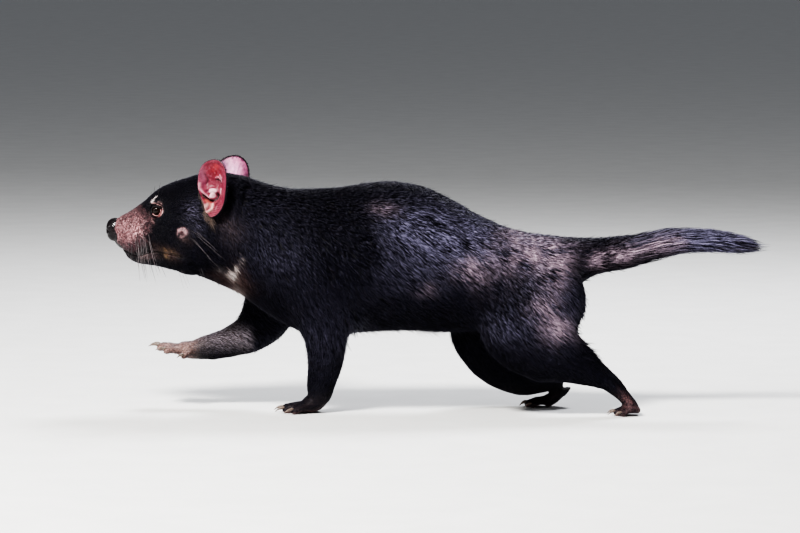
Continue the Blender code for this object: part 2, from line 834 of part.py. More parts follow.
def paw_parts(name):
    """A paw fused from palm and toes, cut flat where it stands, with its claws in their sockets."""
    paw = PAWS[name]
    side = SIDES[name.rsplit("_", 1)[1]]
    pieces = [loft("palm", limb_rings(smooth_rows(on_side(paw["path"], side), 3), 16))]
    claws = []
    for number in range(len(TOES[paw["toes"]])):
        toe, claw = toe_and_claw(name, paw, number, side)
        pieces += toe
        claws.append(claw)
    whole = fused_skin(joined("whole_paw", pieces), PAW_VOXEL, 4, PAW_TRIANGLES)
    if not paw["pitch"]:
        standing = half(whole, "standing", (0, 0, -HALF_GAP), (0, 0, 1))
        discard([whole])
        whole = standing
    (x, z), (along_x, along_z) = paw["joint"], paw["along"]
    thing = half(whole, name, (x, 0, z), (along_x, 0, along_z))
    discard([whole])
    boolean(thing, [grown(copy_of(claw, "space"), GAP) for claw in claws], "DIFFERENCE")
    return {name: thing, **{claw.name: claw for claw in claws}}


def trim_leg(parts, paw):
    """Ends a leg at the plane where its paw begins."""
    (x, z), (along_x, along_z) = paw["joint"], paw["along"]
    old = parts[paw["leg"]]
    old.name = "old"
    parts[paw["leg"]] = half(old, paw["leg"], (x, 0, z), (-along_x, 0, -along_z))
    discard([old])


def material(name):
    colour, rough = COLOURS[name]
    made = bpy.data.materials.get(name) or bpy.data.materials.new(name)
    made.use_nodes = True
    shader = made.node_tree.nodes["Principled BSDF"]
    shader.inputs["Base Color"].default_value = colour
    shader.inputs["Roughness"].default_value = rough
    return made


def slot_of(name):
    """The material that a node wears."""
    for word in ("eye", "nose", "claw"):
        if word in name:
            return word
    return "skin" if name.startswith("ear_") else "coat"


def settle(parts):
    """Puts the whole on the middle of its box, with the floor at zero, and dresses each piece."""
    corners = np.array([v.co for thing in parts.values() for v in thing.data.vertices])
    low, high = corners.min(axis=0), corners.max(axis=0)
    shift = Vector((-(low[0] + high[0]) / 2, -(low[1] + high[1]) / 2, -low[2]))
    for name, thing in parts.items():
        thing.data.transform(Matrix.Translation(shift))
        thing.data.materials.clear()
        thing.data.materials.append(material(slot_of(name)))
        thing.data.shade_smooth()
        thing.name = name
    return shift


def build():
    clear_scene()
    parts = {**body_parts(), **head_parts(), "tail_brush": brush()}
    for name, paw in PAWS.items():
        parts.update(paw_parts(name))
        trim_leg(parts, paw)
    return settle(parts)


SHIFT = build()
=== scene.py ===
"""A Tasmanian devil in mid-stride, a still life-size model: skin, coat, ears, eyes, nose and claws."""

import math

import bmesh
import bpy
import numpy as np
from mathutils import Matrix, Vector
from mathutils.bvhtree import BVHTree


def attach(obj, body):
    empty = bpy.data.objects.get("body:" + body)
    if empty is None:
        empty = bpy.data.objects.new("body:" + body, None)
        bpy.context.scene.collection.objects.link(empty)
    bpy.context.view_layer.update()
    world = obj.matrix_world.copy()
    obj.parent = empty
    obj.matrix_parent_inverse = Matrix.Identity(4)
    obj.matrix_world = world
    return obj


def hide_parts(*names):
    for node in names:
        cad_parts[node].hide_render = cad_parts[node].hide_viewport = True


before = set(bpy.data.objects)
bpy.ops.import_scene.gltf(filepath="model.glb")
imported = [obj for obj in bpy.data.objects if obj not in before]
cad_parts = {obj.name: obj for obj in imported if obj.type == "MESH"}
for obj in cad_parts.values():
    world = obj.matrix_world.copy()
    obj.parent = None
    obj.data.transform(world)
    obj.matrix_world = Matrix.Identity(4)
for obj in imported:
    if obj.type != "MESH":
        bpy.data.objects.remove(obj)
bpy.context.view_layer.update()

MM = 0.001
# From a place in the drawing to its place in the model, in mm
SHIFT = np.array([-4.54, 0.23, 0.0])

# Nodes of flesh that the skin stands for, and how much each one grows to run into the next, in mm
FLESH = {
    "torso": 0.3,
    "neck": 0.3,
    "head": 0.9,
    "tail_base": 0.3,
    "upper_foreleg_left": 0.3,
    "upper_foreleg_right": 0.3,
    "forearm_left": 0.3,
    "forearm_right": 0.3,
    "forepaw_left": 0.2,
    "forepaw_right": 0.2,
    "thigh_left": 0.3,
    "thigh_right": 0.3,
    "shank_left": 0.3,
    "shank_right": 0.3,
    "hindpaw_left": 0.2,
    "hindpaw_right": 0.2,
}
# Nodes that fill the sockets under the skin, and lie below their own finer pieces
FILLING = {"eye_left": 0.3, "eye_right": 0.3, "nose": 0.0}

# How far the head turns, and where the neck bends
HEAD_TURN = math.radians(-12)
NECK_BEND = (-178.0, -246.0)
NECK_PIVOT = -215.0

# Places on the left half of the straight head
EYE_CENTRE = np.array([-343.0, -33.5, 257.2])
EYE_RADIUS = 7.0
EYE_FACING = np.array([-0.20, -0.975, 0.06])
LID_MIDDLE = (0.7, -0.5)
LID_REACH = [5.7, 5.6, 5.1, 5.4, 5.5, 5.5, 5.9, 5.7]
# How wide the bare band of the rear and lower lid is at each angle, in degrees
LID_BAND = [(-165, 0.2), (-117, 1.7), (-94, 2.4), (-52, 4.0), (-22, 6.0), (0, 6.8), (18, 4.0), (34, 0.2)]
# The dark upper lid and the pale folds over it, from front to back: mm back and up from the eye
UPPER_LID = [(-6.8, 6.0), (-2.2, 6.2), (3.6, 4.9), (8.2, 2.4)]
LID_FOLD = [(-5.6, 9.6), (-1.6, 8.6), (3.6, 7.0), (7.9, 4.8), (11.0, 1.8), (12.0, -1.0)]
BROW_FOLD = [(2.8, 11.0), (6.2, 10.2), (9.0, 7.9)]
TEAR_DUCT = [(-4.6, -1.2), (-6.6, -2.6), (-7.6, -5.2)]
NOSE_CENTRE = np.array([-407.5, 0.0, 229.0])
NOSE_RADII = np.array([11.5, 13.5, 15.5])
# The right ear is held a little further forward
EAR_CENTRES = {-1: np.array([-264.0, -65.0, 287.0]), 1: np.array([-269.0, -65.0, 285.0])}
EAR_FACING = np.array([-0.30, -0.94, 0.13])
EAR_RADII = (21.5, 38.0)
EAR_DEPTH = 13.0
# The ear's outline: its reach every 30 degrees from the back edge over the top, as a share of
# the radii; the low front edge is notched
EAR_REACH = [1.0, 1.10, 1.08, 1.0, 1.04, 1.08, 0.88, 0.70, 0.70, 0.90, 0.97, 1.03]
MOUTH_LINE = np.array([
    (-396.5, 205.3), (-388.0, 202.4), (-379.0, 198.8), (-371.0, 197.8), (-363.0, 199.8),
    (-354.0, 203.2), (-344.0, 204.9), (-332.0, 204.2), (-318.0, 202.8), (-304.0, 200.7),
])

# The tail's core under its long hair, and the outline of that hair: x, middle height, radius
BRUSH_CORE = [
    (248, 203, 21), (268, 207, 19), (284, 211, 15), (300, 215, 11.5),
    (322, 217.5, 9), (345, 218, 6.5), (362, 218, 4), (370, 218, 1.5),
]
BRUSH = [
    (255, 204, 22), (276, 209, 21), (300, 215, 20.5), (319, 218, 18),
    (363, 218, 15), (395, 214, 12), (409, 212, 9), (425, 210, 5),
]

# The front edge of the pale muzzle over the lip: place along the head at each height
LIP_FRONT = np.array([(203, -392), (209, -394), (214.5, -400.5), (223, -399.5), (228, -403), (232, -407)])
LIP_FRONT_TOP = 233

SKIN_VOXEL = 1.35
SKIN_FACES = 172000
UNWRAP_FACES = 7000
TUFT_SEED = 11
TUFTS_IN_PIECE = 19000
TAIL_LOCKS = 4600
# Half the width of the patch that each tuft has on the unwrap
PATCH = 0.0015


# Places and directions

def smooth_step(low, high, value):
    """0 below low, 1 above high and a smooth rise between them."""
    share = np.clip((value - low) / (high - low), 0.0, 1.0)
    return share * share * (3 - 2 * share)


def bell(value, middle, width):
    """1 at a middle value, fading to nothing about two widths away."""
    return np.exp(-(((value - middle) / width) ** 2))


def unit(rows):
    return rows / np.maximum(np.linalg.norm(rows, axis=-1, keepdims=True), 1e-9)


def head_angle(straight_x):
    start, end = NECK_BEND
    return HEAD_TURN * smooth_step(0.0, 1.0, (start - straight_x) / (start - end))


def to_straight(points):
    """Drawing places as they would be with the head held straight."""
    away = points[:, 0] - NECK_PIVOT
    x = points[:, 0].copy()
    for _ in range(6):
        angle = head_angle(x)
        x = NECK_PIVOT + away * np.cos(angle) + points[:, 1] * np.sin(angle)
    y = points[:, 1] * np.cos(angle) - away * np.sin(angle)
    return np.column_stack([x, y, points[:, 2]])


def to_turned(points):
    """Places on the straight head as they are once it has turned."""
    angle = head_angle(points[:, 0])
    away = points[:, 0] - NECK_PIVOT
    x = NECK_PIVOT + away * np.cos(angle) - points[:, 1] * np.sin(angle)
    y = away * np.sin(angle) + points[:, 1] * np.cos(angle)
    return np.column_stack([x, y, points[:, 2]])


def ways_round(facing, side):
    """The ways back along the head, up and out, for an eye or ear that faces a way of the left half."""
    out = unit(on_side(facing, side))
    back = unit(np.array([abs(out[1]), -out[0] * np.sign(out[1]), 0.0]))
    up = np.cross(back, out)
    return back, up if up[2] > 0 else -up, out


def eye_view(points, side=-1):
    """Places round an eye of the straight head: towards the back of the head, up, and outwards."""
    back, up, out = ways_round(EYE_FACING, side)
    away = points - on_side(EYE_CENTRE, side)
    return away @ back, away @ up, away @ out


def lid_gap(a, u):
    """How far places round an eye lie outside the opening of the lids, and their angle."""
    a, u = a - LID_MIDDLE[0], u - LID_MIDDLE[1]
    angle = np.arctan2(u, a)
    return np.hypot(a, u) - round_reach(LID_REACH, angle), angle


def band_width(angle):
    """How wide the bare band of the lids is at an angle."""
    return np.interp(np.degrees(angle), *np.array(LID_BAND).T)


def mouth_height(x):
    """The height of the line of the mouth along the straight head."""
    return np.interp(x, MOUTH_LINE[:, 0], MOUTH_LINE[:, 1])


def lip_front(z):
    """Where the front of the lip begins at a height."""
    return np.interp(z, LIP_FRONT[:, 0], LIP_FRONT[:, 1])


def turn_directions(directions, straight_x, sign=1):
    """Directions on the straight head as they are once it has turned, or back with sign -1."""
    angle = head_angle(straight_x) * sign
    x = directions[:, 0] * np.cos(angle) - directions[:, 1] * np.sin(angle)
    y = directions[:, 0] * np.sin(angle) + directions[:, 1] * np.cos(angle)
    return np.column_stack([x, y, directions[:, 2]])


def on_side(vector, side):
    """A place or direction of the left half on one side: -1 left, 1 right."""
    return np.array([vector[0], vector[1] * -side, vector[2]])


def folded(points):
    """The same places brought over to the left side."""
    return np.column_stack([points[:, 0], -np.abs(points[:, 1]), points[:, 2]])


def near(points, centre, radii):
    """1 at a centre, fading to nothing about two radii away."""
    away = (points - np.asarray(centre, float)) / np.asarray(radii, float)
    return np.exp(-(away**2).sum(1))


def spots(points, rows, total=0.0):
    """The sum of soft spots, given as centre, radii and amount."""
    for centre, radii, amount in rows:
        total = total + near(points, centre, radii) * amount
    return total


def from_line(points, line):
    """The distance of points to a line of corners, in as many coordinates as the corners have."""
    line = np.asarray(line, float)
    best = np.full(len(points), np.inf)
    for start, end in zip(line[:-1], line[1:]):
        along = end - start
        share = np.clip((points - start) @ along / (along @ along), 0, 1)
        best = np.minimum(best, np.linalg.norm(points - start - share[:, None] * along, axis=1))
    return best


def stroke(points, line, width):
    """1 along a line of corners, fading to nothing about two widths away."""
    return np.exp(-((from_line(points, line) / width) ** 2))


def round_reach(reaches, angle):
    """A smooth reach at each angle, through reaches given at even steps of a full turn."""
    count = len(reaches)
    parts = np.fft.rfft(reaches) / count
    total = np.full(np.shape(angle), parts[0].real)
    for k, part in enumerate(parts[1:], 1):
        twice = 1 if 2 * k == count else 2
        total = total + twice * (part.real * np.cos(k * angle) - part.imag * np.sin(k * angle))
    return total


def ripple(points, size, seed):
    """A smooth random field from about -1 to 1, with patches of about a size in mm."""
    draw = np.random.default_rng(seed)
    total = np.zeros(len(points))
    for _ in range(14):
        wave = draw.normal(size=3)
        wave *= 2 * math.pi / (size * np.linalg.norm(wave)) * draw.uniform(0.6, 1.5)
        total += np.sin(points @ wave + draw.uniform(0, 2 * math.pi))
    return total / 4.2


def blend(share, below, above):
    """Rows of colour from below to above by a share for each row."""
    share = np.clip(share, 0, 1)[:, None]
    return below * (1 - share) + np.asarray(above, float) * share


# Meshes

def plain_mesh(name, points, faces):
    """A mesh of points in drawing mm and an array of faces with the same number of corners."""
    mesh = bpy.data.meshes.new(name)
    faces = np.ascontiguousarray(faces, np.int32)
    count, corners = faces.shape
    mesh.vertices.add(len(points))
    place = (np.asarray(points) + SHIFT) * MM
    mesh.vertices.foreach_set("co", place.astype(np.float32).ravel())
    mesh.loops.add(count * corners)
    mesh.loops.foreach_set("vertex_index", faces.ravel())
    mesh.polygons.add(count)
    mesh.polygons.foreach_set("loop_start", np.arange(0, count * corners, corners, dtype=np.int32))
    smooth_faces(mesh)
    mesh.update(calc_edges=True)
    return mesh


def smooth_faces(mesh):
    mesh.polygons.foreach_set("use_smooth", np.ones(len(mesh.polygons), bool))


def outward(mesh):
    """Closes a mesh's open ends and turns all its faces outwards."""
    bm = bmesh.new()
    bm.from_mesh(mesh)
    bmesh.ops.holes_fill(bm, edges=[edge for edge in bm.edges if edge.is_boundary], sides=0)
    bmesh.ops.recalc_face_normals(bm, faces=bm.faces)
    bm.to_mesh(mesh)
    bm.free()
    smooth_faces(mesh)


def read_out(bm):
    """Points and faces of a bmesh, which is then freed."""
    points = np.array([vert.co for vert in bm.verts])
    faces = [[vert.index for vert in face.verts] for face in bm.faces]
    bm.free()
    return points, faces


def add_object(name, data):
    thing = bpy.data.objects.new(name, data)
    bpy.context.scene.collection.objects.link(thing)
    return thing


def drawing_points(mesh):
    flat = np.empty(len(mesh.vertices) * 3, np.float32)
    mesh.vertices.foreach_get("co", flat)
    return flat.reshape(-1, 3).astype(float) / MM - SHIFT


def set_points(mesh, points):
    mesh.vertices.foreach_set("co", ((points + SHIFT) * MM).astype(np.float32).ravel())
    mesh.update()


def normals_of(mesh):
    flat = np.empty(len(mesh.vertices) * 3, np.float32)
    mesh.vertex_normals.foreach_get("vector", flat)
    return unit(flat.reshape(-1, 3).astype(float))


def triangles_of(mesh):
    mesh.calc_loop_triangles()
    flat = np.empty(len(mesh.loop_triangles) * 3, np.int32)
    mesh.loop_triangles.foreach_get("vertices", flat)
    return flat.reshape(-1, 3)


def edges_of(mesh):
    flat = np.empty(len(mesh.edges) * 2, np.int32)
    mesh.edges.foreach_get("vertices", flat)
    return flat.reshape(-1, 2)


def relax(values, edges, share, rounds):
    """Draws each row towards the mean of its neighbours, by a share for each row."""
    values = np.array(values, float)
    columns = values.reshape(len(values), -1)
    share = np.broadcast_to(np.asarray(share, float), (len(values),))[:, None]
    start, end = edges[:, 0], edges[:, 1]
    count = np.maximum(np.bincount(edges.ravel(), minlength=len(values)), 1)[:, None]
    for _ in range(rounds):
        mean = np.column_stack([
            np.bincount(start, column[end], len(values)) + np.bincount(end, column[start], len(values))
            for column in columns.T
        ]) / count
        columns = columns + share * (mean - columns)
    return columns.reshape(values.shape)


def tree_of(mesh):
    """A search tree over a mesh, in drawing mm."""
    return BVHTree.FromPolygons(drawing_points(mesh).tolist(), triangles_of(mesh).tolist())


def nearest(tree, points):
    """The nearest places on a surface, its normals and faces there."""
    found = [tree.find_nearest(point) for point in points.tolist()]
    places = np.array([hit[0] for hit in found])
    normals = np.array([hit[1] for hit in found])
    return places, normals, np.array([hit[2] for hit in found])


def set_tint(mesh, colours, name="tint"):
    """Keeps a colour for each vertex."""
    attribute = mesh.attributes.new(name, "FLOAT_COLOR", "POINT")
    rows = np.column_stack([np.clip(colours, 0, 1), np.ones(len(colours))])
    attribute.data.foreach_set("color", rows.astype(np.float32).ravel())


def finish_piece(thing, finish, nodes=()):
    """Gives a piece its material and slot, and places it on the model."""
    thing.data.materials.clear()
    thing.data.materials.append(finish)
    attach(thing, "root")
    if nodes:
        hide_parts(*nodes)


def evaluated(thing, name):
    """A plain mesh of an object with its modifiers, in place of the object."""
    graph = bpy.context.evaluated_depsgraph_get()
    mesh = bpy.data.meshes.new_from_object(thing.evaluated_get(graph))
    mesh.name = name
    bpy.data.objects.remove(thing)
    return mesh


# Finishes

class Value:
    """A socket of a material; arithmetic on it adds Math nodes."""

    def __init__(self, finish, socket):
        self.finish = finish
        self.socket = socket

    def math(self, operation, *values):
        return self.finish.node("ShaderNodeMath", {"operation": operation}, dict(enumerate(values)))

    def __add__(self, other):
        return self.math("ADD", self, other)

    def __radd__(self, other):
        return self.math("ADD", other, self)

    def __sub__(self, other):
        return self.math("SUBTRACT", self, other)

    def __rsub__(self, other):
        return self.math("SUBTRACT", other, self)

    def __mul__(self, other):
        return self.math("MULTIPLY", self, other)

    def __rmul__(self, other):
        return self.math("MULTIPLY", other, self)

    def within(self, low, high):
        """0 at low and 1 at high."""
        return self.finish.node("ShaderNodeMapRange", {"interpolation_type": "SMOOTHSTEP"}, {
            "Value": self, "From Min": low, "From Max": high,
        })


class Finish:
    """A procedural material, and the one way that a node is added to it."""

    def __init__(self, name, fixed):
        self.material = bpy.data.materials.new(name)
        self.material.use_nodes = True
        self.tree = self.material.node_tree
        self.shader = self.tree.nodes["Principled BSDF"]
        for socket, value in fixed.items():
            self.shader.inputs[socket].default_value = value

    def feed(self, socket, value):
        if isinstance(value, Value):
            self.tree.links.new(value.socket, socket)
        else:
            socket.default_value = value

    def node(self, kind, settings=None, inputs=None, output=0):
        """Adds a node: its settings first, then the values or links of its sockets."""
        made = self.tree.nodes.new(kind)
        for key, value in (settings or {}).items():
            setattr(made, key, value)
        named = {socket.identifier: socket for socket in made.inputs}
        for key, value in (inputs or {}).items():
            self.feed(named[key] if key in named else made.inputs[key], value)
        named = {socket.identifier: socket for socket in made.outputs}
        return Value(self, named[output] if output in named else made.outputs[output])

    def place(self, scale=(1, 1, 1), turn=(0, 0, 0)):
        """Object coordinates, scaled and turned."""
        at = self.node("ShaderNodeTexCoord", output="Object")
        return self.node("ShaderNodeMapping", None, {"Vector": at, "Rotation": turn, "Scale": scale})

    def tint(self, name="tint"):
        return self.node("ShaderNodeAttribute", {"attribute_name": name}, output="Color")

    def noise(self, at, scale, detail=3.0, roughness=0.55):
        return self.node("ShaderNodeTexNoise", None, {
            "Vector": at, "Scale": scale, "Detail": detail, "Roughness": roughness,
        })

    def cells(self, at, scale):
        return self.node("ShaderNodeTexVoronoi", {"feature": "SMOOTH_F1"}, {
            "Vector": at, "Scale": scale,
        }, "Distance")

    def mix(self, share, below, above, way="MIX"):
        """Mixes two colours."""
        return self.node("ShaderNodeMix", {"data_type": "RGBA", "blend_type": way}, {
            "Factor_Float": share, "A_Color": below, "B_Color": above,
        }, "Result_Color")

    def bump(self, height, strength, distance):
        return self.node("ShaderNodeBump", None, {
            "Height": height, "Strength": strength, "Distance": distance,
        })

    def shade(self, **inputs):
        """Feeds the shader's sockets and gives back the material."""
        for key, value in inputs.items():
            self.feed(self.shader.inputs[key.replace("_", " ")], value)
        return self.material


def skin_finish():
    """Skin under thin fur: its own colour, broken by fine streaks, with pale specks painted as highlights on
    its bumps and painted shade in the pits between them.
    """
    make = Finish("devil_skin", {"Roughness": 0.5, "Specular IOR Level": 0.3})
    streaks = make.noise(make.place((90, 420, 420), (0, math.radians(-38), 0)), 3.2, 3.0)
    pores = make.noise(make.place(), 900, 2.0)
    mottle = make.noise(make.place(), 160, 4.0)
    specks = make.cells(make.place((1, 1, 1.25)), 520)
    colour = make.mix((streaks - 0.5).within(-0.2, 0.25) * 0.4, make.tint(), (0.004, 0.0035, 0.005, 1))
    # Painted shade in the pits between the bumps
    pit_shade = (specks + (mottle - 0.5) * 0.7).within(0.46, 0.66) * 0.75
    colour = make.mix(pit_shade, colour, (0.30, 0.18, 0.20, 1), "MULTIPLY")
    # Painted highlights of the paler tone on the specks that the bump raises
    colour = make.mix((specks + (mottle - 0.5) * 0.5).within(0.40, 0.16), colour, make.tint("tint_pale"))
    height = streaks * 0.4 + pores * 0.3 + mottle * 0.3 + specks.within(0.5, 0.1) * 0.9
    return make.shade(
        Base_Color=colour,
        Roughness=0.42 + mottle * 0.25,
        Normal=make.bump(height, 0.5, 0.0008),
    )


def coat_finish(name, roughness, sheen):
    """Glossy guard hairs: each tuft has its own colour, with fine lines along it."""
    make = Finish(name, {
        "Specular IOR Level": 0.15,
        "Specular Tint": (0.80, 0.80, 1.0, 1.0),
        "Sheen Weight": sheen,
        "Sheen Roughness": 0.3,
        "Sheen Tint": (0.55, 0.55, 1.0, 1.0),
    })
    fine = make.noise(make.place(), 700, 2.0)
    broad = make.noise(make.place(), 55, 3.0)
    colour = make.mix(fine.within(0.35, 0.75) * 0.4, make.tint(), (0.0, 0.0, 0.0, 1))
    return make.shade(
        Base_Color=colour,
        Roughness=roughness + (broad - 0.5) * 0.2,
        Normal=make.bump(fine, 0.2, 0.0003),
    )


def whisker_finish():
    make = Finish("whisker", {"Roughness": 0.35})
    fine = make.noise(make.place(), 500, 2.0)
    return make.shade(Base_Color=make.mix(fine.within(0.3, 0.8) * 0.4, make.tint(), (0.02, 0.015, 0.015, 1)))


def ear_finish():
    """Thin bare skin with veins, fine ribs and a damp shine."""
    make = Finish("bare_ear", {
        "Specular IOR Level": 0.32,
        "Subsurface Weight": 0.06,
        "Subsurface Radius": (0.004, 0.001, 0.0008),
        "Subsurface Scale": 0.3,
    })
    veins = make.noise(make.place(), 230, 5.0, 0.65)
    grain = make.noise(make.place(), 1100, 2.0)
    red = make.mix((veins - 0.5).within(-0.10, 0.16) * 0.6, make.tint(), make.tint("tint_pale"))
    dark = make.mix(grain.within(0.56, 0.78) * 0.5, red, (0.06, 0.004, 0.010, 1))
    return make.shade(
        Base_Color=dark,
        Roughness=0.36 + veins * 0.22,
        Normal=make.bump(veins * 0.6 + grain * 0.4, 0.45, 0.0007),
    )


def nose_finish():
    """Wet black skin in small pebbles."""
    make = Finish("wet_nose", {
        "Specular IOR Level": 0.10, "Coat Weight": 0.34, "Coat Roughness": 0.06,
    })
    pebbles = make.cells(make.place(), 1150)
    broad = make.noise(make.place(), 240, 3.0)
    colour = make.mix(broad.within(0.4, 0.8) * 0.5, make.tint(), (0.014, 0.006, 0.008, 1))
    return make.shade(
        Base_Color=colour,
        Roughness=0.42 + broad * 0.2,
        Normal=make.bump(pebbles.within(0.55, 0.1), 0.25, 0.0002),
    )


def eye_finish():
    """A wet dark eye under a clear coat."""
    make = Finish("wet_eye", {
        "Roughness": 0.2, "Specular IOR Level": 0.1, "Coat Weight": 0.28, "Coat Roughness": 0.02,
    })
    rays = make.noise(make.place(), 1500, 3.0)
    return make.shade(Base_Color=make.mix(rays.within(0.4, 0.7) * 0.4, make.tint(), (0.02, 0.007, 0.004, 1)))


def claw_finish():
    """Horn with pale growth lines and patchy roughness."""
    make = Finish("horn_claw", {"Specular IOR Level": 0.55, "Coat Weight": 0.15, "Coat Roughness": 0.2})
    lines = make.noise(make.place((1, 6, 6)), 420, 3.0)
    broad = make.noise(make.place(), 130, 3.0)
    colour = make.mix(lines.within(0.35, 0.7) * 0.6, make.tint(), (0.32, 0.24, 0.19, 1))
    return make.shade(
        Base_Color=colour,
        Roughness=0.33 + broad * 0.3,
        Normal=make.bump(lines, 0.3, 0.0004),
    )


def floor_finish():
    make = Finish("studio_floor", {"Roughness": 0.85, "Specular IOR Level": 0.2})
    fine = make.noise(make.place(), 14, 3.0)
    colour = make.mix(fine.within(0.3, 0.7), (0.70, 0.70, 0.69, 1), (0.73, 0.73, 0.72, 1))
    return make.shade(Base_Color=colour)


# The skin

def grown_node(name, amount):
    """Points and faces of a solid, merged and grown, in drawing mm."""
    bm = bmesh.new()
    bm.from_mesh(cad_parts[name].data)
    bmesh.ops.remove_doubles(bm, verts=bm.verts, dist=1e-6)
    bm.normal_update()
    for vert in bm.verts:
        vert.co = vert.co + vert.normal * amount * MM
    points, faces = read_out(bm)
    return points / MM - SHIFT, faces


def round_solid(centre, radii):
    """Points and faces of an ellipsoid."""
    bm = bmesh.new()
    bmesh.ops.create_uvsphere(bm, u_segments=24, v_segments=16, radius=1.0)
    points, faces = read_out(bm)
    return points * radii + centre, faces


def smooth_row(table, x):
    rows = np.array(table, float)
    return np.interp(x, rows[:, 0], rows[:, 1]), np.interp(x, rows[:, 0], rows[:, 2])


def tail_core():
    """Points and faces of the tail's flesh inside its long hair."""
    sides, points, faces = 20, [], []
    for x, middle, radius in BRUSH_CORE:
        for i in range(sides):
            turn = 2 * math.pi * i / sides
            points.append((x, radius * math.cos(turn), middle + radius * math.sin(turn)))
    for row in range(len(BRUSH_CORE) - 1):
        for i in range(sides):
            j = (i + 1) % sides
            faces.append([row * sides + i, row * sides + j, (row + 1) * sides + j, (row + 1) * sides + i])
    last = (len(BRUSH_CORE) - 1) * sides
    faces += [list(range(sides))[::-1], list(range(last, last + sides))]
    return np.array(points), faces


def ear_root(side):
    """Points and faces of the flesh that carries an ear."""
    facing = unit(on_side(EAR_FACING, side))
    centre = on_side(EAR_CENTRES[side], side) - facing * (EAR_DEPTH + 12.5) + np.array([-3.0, 0, -12.0])
    points, faces = round_solid(centre, np.array([14.0, 13.0, 21.0]))
    return to_turned(points), faces


def largest_surface(mesh):
    """Keeps only the largest closed surface of a mesh."""
    count = len(mesh.vertices)
    edges = edges_of(mesh)
    label = np.arange(count)
    while True:
        low = np.minimum(label[edges[:, 0]], label[edges[:, 1]])
        new = label.copy()
        np.minimum.at(new, edges[:, 0], low)
        np.minimum.at(new, edges[:, 1], low)
        new = new[new]
        if (new == label).all():
            break
        label = new
    names, sizes = np.unique(label, return_counts=True)
    if len(names) == 1:
        return mesh
    keep = label == names[sizes.argmax()]
    bm = bmesh.new()
    bm.from_mesh(mesh)
    bm.verts.ensure_lookup_table()
    bmesh.ops.delete(bm, geom=[bm.verts[i] for i in np.flatnonzero(~keep)], context="VERTS")
    bm.to_mesh(mesh)
    bm.free()
    return mesh


def flesh_mesh():
    """All the flesh as one closed surface of even small faces."""
    pieces = [grown_node(name, amount) for name, amount in {**FLESH, **FILLING}.items()]
    pieces += [tail_core(), ear_root(-1), ear_root(1)]
    points, faces = [], []
    for piece_points, piece_faces in pieces:
        base = sum(len(rows) for rows in points)
        points.append(piece_points)
        faces += [[base + i for i in face] for face in piece_faces]
    mesh = bpy.data.meshes.new("flesh")
    mesh.from_pydata((np.vstack(points) + SHIFT) * MM, [], faces)
    thing = add_object("flesh", mesh)
    remesh = thing.modifiers.new("even", "REMESH")
    remesh.mode = "VOXEL"
    remesh.voxel_size = SKIN_VOXEL * MM
    return largest_surface(evaluated(thing, "flesh"))


def fineness(points):
    """How fine the skin's faces stay: 1 on the face and feet, 0 on the trunk."""
    straight = folded(to_straight(points))
    head = smooth_step(-262, -300, straight[:, 0])
    ear = near(straight, (-262, -50, 272), (26, 26, 36))
    feet = smooth_step(48, 30, points[:, 2])
    reaching = smooth_step(-275, -292, points[:, 0]) * (points[:, 2] < 110) * (points[:, 1] > 20)
    return np.maximum.reduce([head, ear, feet, reaching])


def thinned(mesh):
    """Fewer faces where the skin is plain, none taken where it is fine."""
    thing = add_object("skin", mesh)
    group = thing.vertex_groups.new(name="plain")
    plain = 1 - fineness(drawing_points(mesh))
    steps = np.round(plain * 8).astype(int)
    for step in range(1, 9):
        members = np.flatnonzero(steps == step)
        if len(members):
            group.add(members.tolist(), step / 8, "REPLACE")
    triangles = len(mesh.polygons) * 2
    modifier = thing.modifiers.new("thin", "DECIMATE")
    modifier.ratio = min(1.0, SKIN_FACES / triangles)
    modifier.vertex_group = "plain"
    modifier.vertex_group_factor = 6.0
    return evaluated(thing, "skin")


def coat_depth(points):
    """How far the skin lies inside the solids."""
    straight = folded(to_straight(points))
    depth = np.full(len(points), 3.2)
    head = smooth_step(-235, -300, straight[:, 0])
    depth += head * (1.5 - depth)
    muzzle = smooth_step(-335, -375, straight[:, 0])
    depth += muzzle * (0.5 - depth)
    legs = smooth_step(95, 55, points[:, 2])
    depth += legs * (1.6 - depth)
    feet = smooth_step(50, 32, points[:, 2])
    depth += feet * (0.5 - depth)
    reaching = smooth_step(-240, -290, points[:, 0]) * (points[:, 2] < 118) * (points[:, 1] > 15)
    depth += reaching * (0.6 - depth)
    return depth


def set_inside(mesh, surface, grown):
    """Brings the skin to its depth under the solids."""
    points, edges = drawing_points(mesh), edges_of(mesh)
    for _ in range(2):
        places, normals, _ = nearest(surface, points)
        outside = ((points - places) * normals).sum(1)
        core = smooth_step(262, 285, points[:, 0])
        move = (-coat_depth(points) - grown * (1 - core) - outside) * (1 - core)
        move = relax(np.clip(move, -4, 4), edges, 0.7, 10)
        points += normals_of(mesh) * move[:, None]
        set_points(mesh, points)


def split(bm, chosen):
    """Splits the faces round the chosen points in four."""
    bm.verts.ensure_lookup_table()
    edges = {edge for i in np.flatnonzero(chosen) for edge in bm.verts[i].link_edges}
    bmesh.ops.subdivide_edges(bm, edges=list(edges), cuts=1, use_grid_fill=True)
    bmesh.ops.triangulate(bm, faces=[face for face in bm.faces if len(face.verts) > 4])


def refined(mesh):
    """Splits the faces along the mouth and round the eyes, twice close to the eyes."""
    points = drawing_points(mesh)
    straight = folded(to_straight(points))
    mouth = np.abs(straight[:, 2] - mouth_height(straight[:, 0])) < 3.5
    mouth = mouth & (straight[:, 0] < -300)
    eye = np.linalg.norm(straight - EYE_CENTRE, axis=1) < 13.5
    bm = bmesh.new()
    bm.from_mesh(mesh)
    split(bm, mouth | eye)
    places = np.array([vert.co for vert in bm.verts]) / MM - SHIFT
    split(bm, np.linalg.norm(folded(to_straight(places)) - EYE_CENTRE, axis=1) < 10.5)
    bm.to_mesh(mesh)
    bm.free()
    return mesh


